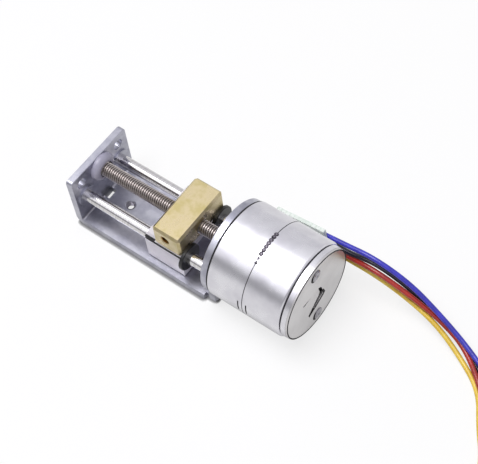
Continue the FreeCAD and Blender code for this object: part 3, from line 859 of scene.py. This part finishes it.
@dataclass(frozen=True)
class Slider:
    """Brass nut block on its white carriage, with liners on the rods."""

    tap: TappedHole = TappedHole()
    tap_x: float = 15.9 * MM
    tap_z: float = 11.7 * MM
    tap_depth: float = 3.2 * MM
    block_bend_deg: float = 75.0        # the block's chamfers are shaded as worn edges
    groove_top: float = 0.12 * MM       # below the block
    groove_height: float = 1.15 * MM
    groove_depth: float = 0.5 * MM
    painted_shade_inset: float = 0.1 * MM      # how far the painted shade lies inside the groove
    overrun: float = 1.0 * MM           # how far the groove's cutting bar stands out

    def strips(self, bm: BMesh, start: float, end: float, inset: float) -> None:
        """Adds a bar in the place of the groove on both sides.

        Args:
            bm: Mesh to add to.
            start: X of the front end.
            end: X of the rear end.
            inset: How far the bar stays inside the groove's mouth.
        """
        low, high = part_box("nut_block")
        top = low.z - self.groove_top
        for wall in (low.y, high.y):
            inward = -math.copysign(1, wall)
            sides = sorted((wall + inward * inset, wall + inward * self.groove_depth))
            bottom_corner = Vector((start, sides[0], top - self.groove_height))
            top_corner = Vector((end, sides[1], top))
            strip = bmesh.new()
            bmesh.ops.create_cube(strip, size=1.0)
            join(bm, strip, Matrix.Translation((bottom_corner + top_corner) / 2)
                 @ Matrix.Diagonal((*(top_corner - bottom_corner), 1)))

    def carriage(self, node: Object) -> None:
        """Builds the carriage with the groove along both sides, and painted shade in the groove.

        Args:
            node: The plain carriage.
        """
        nose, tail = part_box(node.name)[0].x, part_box("nut_block")[1].x
        body = put("moulded_carriage", node.data.copy())
        bars = partial(self.strips, start=nose - self.overrun, end=tail + self.overrun,
                       inset=-self.overrun)
        cutter = put("groove_cutter", mesh_from("groove_cutter", bars))
        cut = body.modifiers.new("groove", "BOOLEAN")
        cut.operation = "DIFFERENCE"
        cut.solver = "EXACT"
        cut.object = cutter
        shape = bpy.data.meshes.new_from_object(
            body.evaluated_get(bpy.context.evaluated_depsgraph_get()))
        body.modifiers.clear()
        body.data = shape
        bpy.data.objects.remove(cutter)
        shade_smooth(body, CAD_BEND_DEG)
        WHITE_ACETAL.dress(body)
        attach(body, Body.SLIDER.value)
        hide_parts(node.name)
        log.info("built %s with %d faces", body.name, len(body.data.polygons))
        # Dark strips of painted shade inside the groove.
        painted_shade = partial(self.strips, start=nose + self.painted_shade_inset,
                         end=tail - self.painted_shade_inset, inset=self.painted_shade_inset)
        piece_from("groove_painted_shade", painted_shade, PAINTED_SHADE_BLACK, Body.SLIDER)

    def build(self, nodes: Nodes) -> None:
        """Builds the thread in the block's side and the carriage, and dresses the slider.

        Args:
            nodes: The frame's nodes by name.
        """
        block = nodes["nut_block"]
        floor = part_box("nut_block")[0].y + self.tap_depth
        thread = partial(self.tap.line, depth=self.tap_depth,
                         place=Way.MINUS_Y.at(self.tap_x, floor, self.tap_z))
        piece_from("side_tap_thread", thread, TAPPED_BRASS, Body.SLIDER)
        MACHINED_BRASS.dress(block)
        shade_smooth(block, self.block_bend_deg)
        block.modifiers.new("worn_edges", "WEIGHTED_NORMAL").keep_sharp = True
        self.carriage(nodes["carriage"])
        BLACK_ACETAL.dress(nodes["liner_near"], nodes["liner_far"])
        ZINC_SCREW_STEEL.dress(nodes["carriage_screws"])


@dataclass(frozen=True)
class CanStackMotor:
    """Two-cup motor with welded seam, rear plates and what is inside it."""

    axis_z: float
    radius: float = 10.0 * MM
    seam_x: float = 36.3 * MM
    # Welds. Angles are from the top of the motor towards the near side.
    bead_start_deg: float = -10.1
    bead_end_deg: float = 17.3
    bead_spots: int = 7
    bead_r: float = 0.46 * MM
    bead_height: float = 0.07 * MM
    spot_angles: Pair = (22.6, 28.1)
    spot_r: float = 0.3 * MM
    root_depth: float = 0.15 * MM
    crater_share: float = 0.38          # of a weld spot's radius
    crater_top_share: float = 0.9       # of the crater's radius
    crater_lift: float = 0.055 * MM
    # Dark sheets of painted shade in the slots and in the pocket.
    slot_offset: float = 0.9 * MM
    slot_half: float = 1.6 * MM
    slot_width: float = 0.3 * MM
    slot_floor: float = 0.36 * MM       # this and the next are below the can's surface
    slot_shade_depth: float = 0.06 * MM
    pocket_r: float = 4.8 * MM
    pocket_depth: float = 0.6 * MM
    painted_shade_inner_r: float = 1.3 * MM
    painted_shade_thickness: float = 0.05 * MM
    # Dark lines of painted shade in the joints: widths, and pairs of inner and outer radius.
    joint_width: float = 0.32 * MM
    front_joint: Pair = (9.5 * MM, 9.9 * MM)
    seam_half: float = 0.08 * MM
    seam_joint: Pair = (9.7 * MM, 9.93 * MM)
    rear_joint: Pair = (9.3 * MM, 9.4 * MM)
    film: float = 0.03 * MM             # thickness of the painted shade on the spring plate
    rim_line: float = 0.27 * MM         # width of the painted shade round the plate
    rivet_place: float = 7.0 * MM
    # A crescent of painted shade round each rivet, shifted down and towards the near side.
    crescent_r: float = 1.36 * MM
    crescent_width: float = 0.5 * MM
    crescent_film: float = 0.02 * MM
    crescent_shift: Pair = (-0.2 * MM, -0.1 * MM)
    tongue_deg: float = 13.6            # tongue's line above the horizontal
    # Dark film of painted shade round the slot below the tongue.
    tongue_shade_depth: float = 0.42 * MM        # into the slot
    tongue_shade_outline: tuple[Pair, ...] = (
        (-3.75, -3.64), (1.42, -2.44), (1.42, -1.1), (1.86, -1.2), (1.98, -2.75), (1.3, -3.15),
        (-1.2, -3.6), (-3.75, -3.9))    # millimetres along the tongue and across it

    @property
    def bead_angles(self) -> list[float]:
        """Place of each spot of the bead."""
        step = (self.bead_end_deg - self.bead_start_deg) / (self.bead_spots - 1)
        return [self.bead_start_deg + i * step for i in range(self.bead_spots)]

    def joints(self, bm: BMesh) -> None:
        """Adds a painted shade line in each joint: motor wall, seam, rear plate and spring plate.

        Args:
            bm: Mesh to add to.
        """
        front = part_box("front_stator_cup")[0].x
        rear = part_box("rear_end_plate")[0].x
        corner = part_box("end_spring_plate")[1]
        rim = corner.y - self.film
        for start, width, inner, outer in (
                (front, self.joint_width, *self.front_joint),
                (self.seam_x - self.seam_half, 2 * self.seam_half, *self.seam_joint),
                (rear, self.joint_width, *self.rear_joint),
                (corner.x, self.film, rim - self.rim_line, rim)):
            washer(bm, inner, outer, width, Way.PLUS_X.at(start, 0, self.axis_z), steps=96)
        # Crescents of painted shade round the rivets.
        aside, down = self.crescent_shift
        for side in (-1, 1):
            place = Way.PLUS_X.at(corner.x, aside, self.axis_z + side * self.rivet_place + down)
            washer(bm, self.crescent_r - self.crescent_width, self.crescent_r,
                   self.crescent_film, place, steps=40)
        self.tongue_shade(bm, corner.x)

    def tongue_shade(self, bm: BMesh, face_x: float) -> None:
        """Adds a dark film of painted shade round the slot below the tongue.

        Args:
            bm: Mesh to add to.
            face_x: X of the spring plate's outer face.
        """
        turn = Matrix.Rotation(math.radians(self.tongue_deg), 2)
        spots = [turn @ Vector(spot) * MM for spot in self.tongue_shade_outline]
        rings = [[bm.verts.new((x, spot.x, self.axis_z + spot.y)) for spot in spots]
                 for x in (face_x - self.tongue_shade_depth, face_x + self.film)]
        skin(bm, rings)
        bmesh.ops.triangulate(bm, faces=[bm.faces.new(ring) for ring in rings])

    def slot_shade(self, bm: BMesh) -> None:
        """Adds dark sheets of painted shade in the two slots beside the seam.

        Args:
            bm: Mesh to add to.
        """
        steps = 8
        floor = self.radius - self.slot_floor
        for side in (-1, 1):
            x = self.seam_x + side * self.slot_offset
            rows = []
            for i in range(steps + 1):
                z = -self.slot_half + 2 * self.slot_half * i / steps
                face = math.sqrt((self.radius - self.slot_shade_depth) ** 2 - z ** 2)
                rows.append([bm.verts.new((x + w * self.slot_width / 2, -y, self.axis_z + z))
                             for y, w in ((face, -1), (face, 1), (floor, 1), (floor, -1))])
            skin(bm, rows)
            bm.faces.new(rows[0])
            bm.faces.new(rows[-1])

    def painted_shade(self, bm: BMesh) -> None:
        """Adds a dark ring of painted shade on the floor of the pocket behind the tongue.

        Args:
            bm: Mesh to add to.
        """
        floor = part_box("rear_end_plate")[1].x - self.pocket_depth
        washer(bm, self.painted_shade_inner_r, self.pocket_r, self.painted_shade_thickness,
               Way.PLUS_X.at(floor, 0, self.axis_z))

    def nugget(self, bm: BMesh, angle_deg: float, size: float) -> None:
        """Adds one weld spot: a shallow crater with a raised rim, curved to the can.

        Args:
            bm: Mesh to add to.
            angle_deg: Place round the motor, from the top towards the near side.
            size: Radius of the spot.
        """
        root = -self.root_depth / self.bead_height
        outline = ((0.0, 0.45), (0.3, 0.5), (0.55, 0.8), (0.75, 1.0), (0.9, 0.65), (1.0, 0.0),
                   (1.0, root), (0.0, root))    # parts of the spot's radius and height
        steps = 24
        rings = []
        for reach, height in outline:
            r = self.radius + height * self.bead_height
            ring = []
            for i in range(steps if reach else 1):
                turn = TURN * i / steps
                lift = math.radians(angle_deg) + reach * size * math.sin(turn) / self.radius
                ring.append(bm.verts.new((self.seam_x + reach * size * math.cos(turn),
                                          -r * math.sin(lift), self.axis_z + r * math.cos(lift))))
            rings.append(ring * (steps // len(ring)))
        skin(bm, rings)

    def bead(self, bm: BMesh) -> None:
        """Adds the chain of overlapping spots."""
        for angle in self.bead_angles:
            self.nugget(bm, angle, self.bead_r)

    def spots(self, bm: BMesh) -> None:
        """Adds the two single spots below the bead."""
        for angle in self.spot_angles:
            self.nugget(bm, angle, self.spot_r)

    def craters(self, bm: BMesh) -> None:
        """Adds the bright middle of every spot.

        Args:
            bm: Mesh to add to.
        """
        top = self.radius + self.crater_lift
        for angles, spot_r in ((self.bead_angles, self.bead_r), (self.spot_angles, self.spot_r)):
            size = self.crater_share * spot_r
            for angle in angles:
                place = (Matrix.Translation((self.seam_x, 0, self.axis_z))
                         @ Matrix.Rotation(math.radians(angle), 4, "X"))
                lathe(bm, [(self.radius, 0), (self.radius, size),
                           (top, size * self.crater_top_share), (top, 0)], place, steps=20)

    def build(self, nodes: Nodes) -> None:
        """Builds the welds and the dark pieces of painted shade, and dresses the motor's pieces.

        Args:
            nodes: The frame's nodes by name.
        """
        for name, fill, finish, slot in (
                ("seam_weld_bead", self.bead, LASER_WELD, "nickel_can"),
                ("seam_weld_spots", self.spots, LASER_WELD, "nickel_can"),
                ("seam_weld_craters", self.craters, WELD_CRATER, "nickel_can"),
                # The last three are dark pieces of painted shade.
                ("slot_painted_shade", self.slot_shade, PAINTED_SHADE_BLACK, "black_acetal"),
                ("pocket_painted_shade", self.painted_shade, PAINTED_SHADE_BLACK, "black_acetal"),
                ("joint_painted_shade", self.joints, PAINTED_SHADE_BLACK, "black_acetal")):
            piece_from(name, fill, finish, Body.HOUSING)
        can = [nodes[name] for name in ("front_stator_cup", "rear_stator_cup", "rear_end_plate")]
        NICKEL_PLATED_CAN.dress(*can)
        close_seams(*can)
        for finish, *names in (
                (SPRING_STEEL, "end_spring_plate"),
                (RIVET_STEEL, "end_plate_rivets"),
                (PRESSED_IRON, "front_inner_yoke", "rear_inner_yoke"),
                (WHITE_NYLON, "front_bobbin", "rear_bobbin", "thrust_washer"),
                (ENAMELLED_COPPER, "front_coil", "rear_coil"),
                (SINTERED_BRONZE, "front_bearing", "rear_bearing")):
            finish.dress(*(nodes[name] for name in names))


@dataclass(frozen=True)
class TerminalBoard:
    """Circuit board on its block, with copper pads and solder."""

    centre_x: float = 35.5 * MM
    centre_z: float = 8.5 * MM
    face_y: float = 11.2 * MM
    pin_step_x: float = 3.0 * MM
    pin_step_z: float = 4.0 * MM
    pin_r: float = 0.25 * MM
    fillet_r: float = 0.8 * MM
    fillet_height: float = 0.5 * MM
    fillet_tip: float = 0.04 * MM       # thickness of the solder at the pin's tip
    pad_r: float = 0.95 * MM
    copper: float = 0.035 * MM
    blob_length: float = 1.4 * MM
    blob_r: float = 0.55 * MM
    blob_lift: float = 0.38 * MM        # of its middle, above the board
    lead_x: float = 39.3 * MM
    lead_heights: tuple[float, ...] = (10.3 * MM, 9.0 * MM, 7.7 * MM, 6.4 * MM)
    solder_bend_deg: float = 60.0

    def pins(self) -> list[Matrix]:
        """Place of each pin on the board's face."""
        return [Way.PLUS_Y.at(self.centre_x + i * self.pin_step_x / 2, self.face_y,
                              self.centre_z + k * self.pin_step_z / 2)
                for i in (-1, 1) for k in (-1, 1)]

    def pads(self, bm: BMesh) -> None:
        """Adds a ring of tinned copper round each pin."""
        for place in self.pins():
            washer(bm, self.pin_r, self.pad_r, self.copper, place, steps=32)

    def fillets(self, bm: BMesh) -> None:
        """Adds the hollow cone of solder that climbs each pin.

        Args:
            bm: Mesh to add to.
        """
        steps = 6
        outline = [(0.0, self.pin_r), (0.0, self.fillet_r)]
        for i in range(1, steps + 1):
            t = i / steps
            outline.append((t * self.fillet_height, self.pin_r + self.fillet_tip
                            + (self.fillet_r - self.pin_r) * (1 - t) ** 2))
        outline.append((self.fillet_height, self.pin_r))
        for place in self.pins():
            lathe(bm, outline, place, steps=32)

    def blobs(self, bm: BMesh) -> None:
        """Adds the long drop of solder over each lead's stripped end.

        Args:
            bm: Mesh to add to.
        """
        shape = Matrix.Diagonal((self.blob_length / 2, self.blob_r, self.blob_r, 1))
        for z in self.lead_heights:
            sphere = bmesh.new()
            bmesh.ops.create_uvsphere(sphere, u_segments=28, v_segments=16, radius=1.0)
            centre = (self.lead_x - self.blob_length / 2, self.face_y + self.blob_lift, z)
            join(bm, sphere, Matrix.Translation(centre) @ shape)
            bmesh.ops.bisect_plane(bm, geom=bm.verts[:] + bm.edges[:] + bm.faces[:],
                                   plane_co=(0, self.face_y, 0), plane_no=(0, -1, 0),
                                   clear_outer=True)
            bmesh.ops.holes_fill(bm, edges=[e for e in bm.edges if e.is_boundary])

    def build(self, nodes: Nodes) -> None:
        """Builds pads and solder and dresses the board's pieces.

        Args:
            nodes: The frame's nodes by name.
        """
        piece_from("board_pads", self.pads, BOARD_COPPER, Body.HOUSING)
        for name, fill, node in (("pin_solder_fillets", self.fillets, "pin_solder"),
                                 ("lead_solder_drops", self.blobs, "lead_solder")):
            solder = piece_from(name, fill, TIN_SOLDER, Body.HOUSING,
                                self.solder_bend_deg)
            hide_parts(node)
        BOARD_LAMINATE.dress(nodes["circuit_board"])
        WHITE_NYLON.dress(nodes["terminal_block"])
        TINNED_COPPER.dress(nodes["terminal_pins"])


@dataclass(frozen=True)
class Lead:
    """One loose insulated lead, soldered to the board and bare at its far end."""

    name: str
    finish: Finish
    length: float
    route: tuple[Spot, ...]
    radius: float = 0.5 * MM
    order: int = 3
    steps: int = 14                     # facets between two points of the route
    round_steps: int = 6

    def build(self, nodes: Nodes) -> None:
        """Builds the lead as one smooth curve through the air and along the table.

        Args:
            nodes: The frame's nodes by name.
        """
        curve = bpy.data.curves.new("lead_" + self.name, "CURVE")
        curve.dimensions = "3D"
        curve.bevel_depth = self.radius
        curve.bevel_resolution = self.round_steps
        curve.use_fill_caps = True
        spline = curve.splines.new("NURBS")
        spline.points.add(len(self.route) - 1)
        for point, spot in zip(spline.points, self.route):
            point.co = (*(c * MM for c in spot), 1.0)
        spline.order_u = self.order
        spline.use_endpoint_u = True
        spline.resolution_u = self.steps
        lead = put("lead_" + self.name, curve)
        self.finish.dress(lead)
        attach(lead, Body.HOUSING.value)
        node = "wire_" + self.name
        tip = node + "_tip"
        TINNED_COPPER.dress(nodes[tip])
        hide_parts(node)
        log.info("laid the %s lead", self.name)


LEADS = (
    Lead("blue", BLUE_PVC, 71.4 * MM, (
        (39.3, 11.7, 10.3), (44.5, 11.7, 11.0), (51.0, 11.7, 12.1), (58.5, 12.4, 8.9),
        (65.5, 11.8, 5.1), (72.0, 10.3, 2.8), (78.5, 7.7, 1.4), (84.8, 3.6, 0.5),
        (89.6, -2.2, 0.5), (92.8, -8.8, 0.5), (94.0, -15.8, 0.5))),
    Lead("black", BLACK_PVC, 70.2 * MM, (
        (39.3, 11.7, 9.0), (44.5, 11.7, 8.4), (51.0, 12.0, 10.1), (58.5, 12.6, 6.8),
        (65.5, 12.5, 2.7), (72.0, 10.8, 0.5), (78.5, 6.9, 0.5), (84.0, 2.0, 0.5),
        (88.2, -3.4, 0.5), (91.0, -9.6, 0.5), (91.8, -16.4, 0.5))),
    Lead("red", RED_PVC, 68.2 * MM, (
        (39.3, 11.7, 7.7), (44.5, 11.7, 7.1), (51.0, 10.9, 9.5), (58.5, 11.4, 6.9),
        (65.5, 11.7, 3.6), (72.0, 10.4, 1.4), (78.5, 4.9, 1.7), (83.1, 0.4, 0.5),
        (86.9, -4.6, 0.5), (89.3, -10.4, 0.5), (89.7, -16.8, 0.5))),
    Lead("yellow", YELLOW_PVC, 65.4 * MM, (
        (39.3, 11.7, 6.4), (44.5, 11.7, 6.2), (51.0, 11.8, 6.1), (58.5, 11.7, 4.5),
        (65.5, 10.8, 2.9), (72.0, 8.5, 0.9), (78.5, 4.7, 0.5), (82.2, -1.6, 0.5),
        (85.6, -6.2, 0.5), (87.5, -11.4, 0.5), (87.6, -17.2, 0.5))),
)


@dataclass(frozen=True)
class Studio:
    """Table, room light and the camera at the photograph's angle."""

    # Camera.
    target: Spot = (28.0 * MM, 0.0, 10.8 * MM)
    azimuth_deg: float = 43.19
    elevation_deg: float = 57.86
    roll_deg: float = -7.87
    slide_right: float = 0.21 * MM
    slide_up: float = 2.91 * MM
    distance: float = 239.9 * MM
    lens: float = 95.75
    sensor: float = 36.0
    clip: Pair = (0.01, 20.0)
    # Floor.
    floor_half: float = 3.0
    floor_drop: float = 0.02 * MM
    floor_tone: str = "ecebee"
    shadow_share: float = 0.3
    white_level: float = 1.035
    contact: float = 0.8 * MM           # reach of the painted shade where a piece meets the table
    contact_power: float = 8.0
    contact_end: float = 31.0 * MM      # X where the bracket ends, and the painted shade with it
    footprint: tuple[tuple[str, float, float], ...] = (
        ("X", 7.0 * MM, 14.0 * MM), ("Y", 0.0, 8.0 * MM))   # middle and half of the open base
    mirrored_floor: float = 0.96        # brightness of the floor in reflections
    mirrored_shade: float = 0.12        # the same, deep under the part, in its painted shadow
    mirrored_reach: float = 9.0 * MM    # reach of the part's painted shadow on it
    mirrored_open: float = 0.95         # openness at which that shadow has ended
    # Room and lamp.
    room_light: float = 0.33
    softbox: float = 1.7                # brightness of the softbox overhead, in reflections
    side_blend: float = 0.25
    coolness: float = 1.035
    near_wall: tuple[Pair, ...] = (
        (0.0, 0.45), (0.08, 0.36), (0.18, 0.2), (0.34, 0.2), (0.47, 0.5), (0.6, 0.8),
        (0.75, 0.86), (0.92, 0.82), (1.0, 0.8))
    far_wall: tuple[Pair, ...] = (
        (0.0, 0.5), (0.1, 0.48), (0.4, 0.47), (0.7, 0.53), (0.82, 0.58), (0.88, 0.64),
        (0.93, 0.74), (1.0, 0.84))
    lamp_spot: Spot = (-0.1, -0.1, 0.7)
    lamp_size: float = 0.45
    lamp_watts: float = 4.4

    def camera(self) -> None:
        """Places the camera that the photograph was fitted with."""
        az = math.radians(self.azimuth_deg)
        el = math.radians(self.elevation_deg)
        roll = math.radians(self.roll_deg)
        back = Vector((math.sin(az) * math.cos(el), -math.cos(az) * math.cos(el), math.sin(el)))
        level = Vector((math.cos(az), math.sin(az), 0))
        rise = back.cross(level)
        right = math.cos(roll) * level + math.sin(roll) * rise
        up = -math.sin(roll) * level + math.cos(roll) * rise
        spot = (Vector(self.target) + self.slide_right * right + self.slide_up * up
                + self.distance * back)
        data = bpy.data.cameras.new("camera")
        data.lens = self.lens
        data.sensor_width = self.sensor
        data.clip_start, data.clip_end = self.clip
        camera = put("camera", data)
        camera.matrix_world = Matrix((
            (right.x, up.x, back.x, spot.x), (right.y, up.y, back.y, spot.y),
            (right.z, up.z, back.z, spot.z), (0, 0, 0, 1)))
        bpy.context.scene.camera = camera

    def seen_floor(self, tree: NodeTree) -> NodeSocket:
        """Floor for the camera: white, with painted shade where a piece meets the table.

        Args:
            tree: Node tree to add to.

        Returns:
            Shader socket.
        """
        corner = add_node(tree, "ShaderNodeAmbientOcclusion", {"Distance": self.contact})
        dark = add_node(tree, "ShaderNodeMath", {"operation": "POWER", 1: self.contact_power},
                        {0: corner.outputs["AO"]})
        spot = add_node(tree, "ShaderNodeSeparateXYZ", links={
            "Vector": add_node(tree, "ShaderNodeNewGeometry").outputs["Position"]})
        along, across = (
            add_node(tree, "ShaderNodeMath", {"operation": "COMPARE", 1: middle, 2: half},
                     {0: spot.outputs[axis]}).outputs[0]
            for axis, middle, half in self.footprint)
        under = add_node(tree, "ShaderNodeMath", {"operation": "MULTIPLY"},
                         {0: along, 1: across})
        beyond = add_node(tree, "ShaderNodeMath",
                          {"operation": "GREATER_THAN", 1: self.contact_end},
                          {0: spot.outputs["X"]})
        level = dark
        for clear in (under, beyond):
            level = add_node(tree, "ShaderNodeMath", {"operation": "MAXIMUM"},
                             {0: level.outputs[0], 1: clear.outputs[0]})
        strength = add_node(tree, "ShaderNodeMath",
                            {"operation": "MULTIPLY", 1: self.white_level},
                            {0: level.outputs[0]})
        return add_node(tree, "ShaderNodeEmission", {"Color": WHITE},
                        {"Strength": strength.outputs[0]}).outputs[0]

    def mirrored(self, tree: NodeTree) -> NodeSocket:
        """Floor for reflections: pale, with the part's shadow painted on it nearby.

        Args:
            tree: Node tree to add to.

        Returns:
            Shader socket.
        """
        around = add_node(tree, "ShaderNodeAmbientOcclusion", {"Distance": self.mirrored_reach})
        level = add_node(tree, "ShaderNodeMapRange",
                         {"From Max": self.mirrored_open, "To Min": self.mirrored_shade,
                          "To Max": self.mirrored_floor}, {"Value": around.outputs["AO"]})
        return add_node(tree, "ShaderNodeEmission", {"Color": WHITE},
                        {"Strength": level.outputs[0]}).outputs[0]

    def floor(self) -> None:
        """Pale floor that shows white, with a faint shadow."""
        mesh = bpy.data.meshes.new("floor")
        h = self.floor_half
        z = -self.floor_drop
        mesh.from_pydata([(-h, -h, z), (h, -h, z), (h, h, z), (-h, h, z)], [], [(0, 1, 2, 3)])
        paper = bpy.data.materials.new("white_paper_floor")
        tree = empty_tree(paper)
        rays = add_node(tree, "ShaderNodeLightPath")
        matt = add_node(tree, "ShaderNodeBsdfDiffuse", {"Color": srgb(self.floor_tone)})
        share = add_node(tree, "ShaderNodeMath",
                         {"operation": "MULTIPLY", 1: 1 - self.shadow_share},
                         {0: rays.outputs["Is Camera Ray"]})
        both = add_node(tree, "ShaderNodeMixShader",
                        links={0: share.outputs[0], 1: matt.outputs[0], 2: self.seen_floor(tree)})
        every = add_node(tree, "ShaderNodeMixShader",
                         links={0: rays.outputs["Is Glossy Ray"], 1: both.outputs[0],
                                2: self.mirrored(tree)})
        add_node(tree, "ShaderNodeOutputMaterial", links={"Surface": every.outputs[0]})
        mesh.materials.append(paper)
        put("floor", mesh)

    def wall(self, tree: NodeTree, rise: NodeSocket, levels: Sequence[Pair]) -> NodeSocket:
        """Brightness of one side of the room by height.

        Args:
            tree: Node tree to add to.
            rise: Sine of the elevation.
            levels: (sine of the elevation, share of the softbox's brightness) pairs.

        Returns:
            Colour socket.
        """
        ramp = add_node(tree, "ShaderNodeValToRGB", links={"Fac": rise})
        stops = ramp.color_ramp.elements
        while len(stops) < len(levels):
            stops.new(0.5)
        for stop, (position, level) in zip(stops, levels):
            stop.position = position
            stop.color = (level, level, level * self.coolness, 1)
        return ramp.outputs["Color"]

    def room(self) -> None:
        """White room: bright ceiling, grey walls in reflections and a white background."""
        world = bpy.data.worlds.new("studio")
        bpy.context.scene.world = world
        tree = empty_tree(world)
        way = add_node(tree, "ShaderNodeTexCoord").outputs["Generated"]
        parts = add_node(tree, "ShaderNodeSeparateXYZ", links={"Vector": way})
        near, far = (self.wall(tree, parts.outputs["Z"], levels)
                     for levels in (self.near_wall, self.far_wall))
        side = add_node(tree, "ShaderNodeMapRange",
                        {"From Min": -self.side_blend, "From Max": self.side_blend},
                        {"Value": parts.outputs["Y"]})
        walls = add_node(tree, "ShaderNodeMix", {"data_type": "RGBA"},
                         {0: side.outputs["Result"], 6: near, 7: far})
        seen = add_node(tree, "ShaderNodeBackground", {"Strength": self.softbox},
                        {"Color": walls.outputs[2]})
        soft, white = (add_node(tree, "ShaderNodeBackground", {"Color": WHITE, "Strength": level})
                       for level in (self.room_light, 1.0))
        rays = add_node(tree, "ShaderNodeLightPath")
        bounce = add_node(tree, "ShaderNodeMixShader",
                          links={0: rays.outputs["Is Glossy Ray"], 1: soft.outputs[0],
                                 2: seen.outputs[0]})
        through = add_node(tree, "ShaderNodeMath", {"operation": "MAXIMUM"},
                           {0: rays.outputs["Is Camera Ray"],
                            1: rays.outputs["Is Transmission Ray"]})
        all_rays = add_node(tree, "ShaderNodeMixShader",
                            links={0: through.outputs[0], 1: bounce.outputs[0],
                                   2: white.outputs[0]})
        add_node(tree, "ShaderNodeOutputWorld", links={"Surface": all_rays.outputs[0]})

    def lamp(self) -> None:
        """Adds the square softbox that points at the part."""
        data = bpy.data.lights.new("key_softbox", "AREA")
        data.shape = "SQUARE"
        data.size = self.lamp_size
        data.energy = self.lamp_watts
        data.specular_factor = 0
        lamp = put("key_softbox", data)
        lamp.location = self.lamp_spot
        away = Vector(self.lamp_spot) - Vector(self.target)
        lamp.rotation_euler = away.to_track_quat("Z", "Y").to_euler()

    def build(self) -> None:
        """Sets the stage."""
        bpy.context.scene.view_settings.view_transform = "Standard"
        self.camera()
        self.floor()
        self.room()
        self.lamp()
        log.info("set the studio")


def main() -> None:
    """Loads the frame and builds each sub-assembly in order."""
    logging.basicConfig(level=logging.INFO)
    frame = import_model()
    nodes = frame["nodes"]
    for node in nodes.values():
        shade_smooth(node, CAD_BEND_DEG)
    axis_z = sum(corner.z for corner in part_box("lead_screw")) / 2
    for assembly in (FoldedBracket(), ScrewDrive(axis_z), Slider(), CanStackMotor(axis_z),
                     TerminalBoard(), *LEADS):
        assembly.build(nodes)
        log.info("finished a %s", type(assembly).__name__)
    Studio().build()


if __name__ == "__main__":
    main()
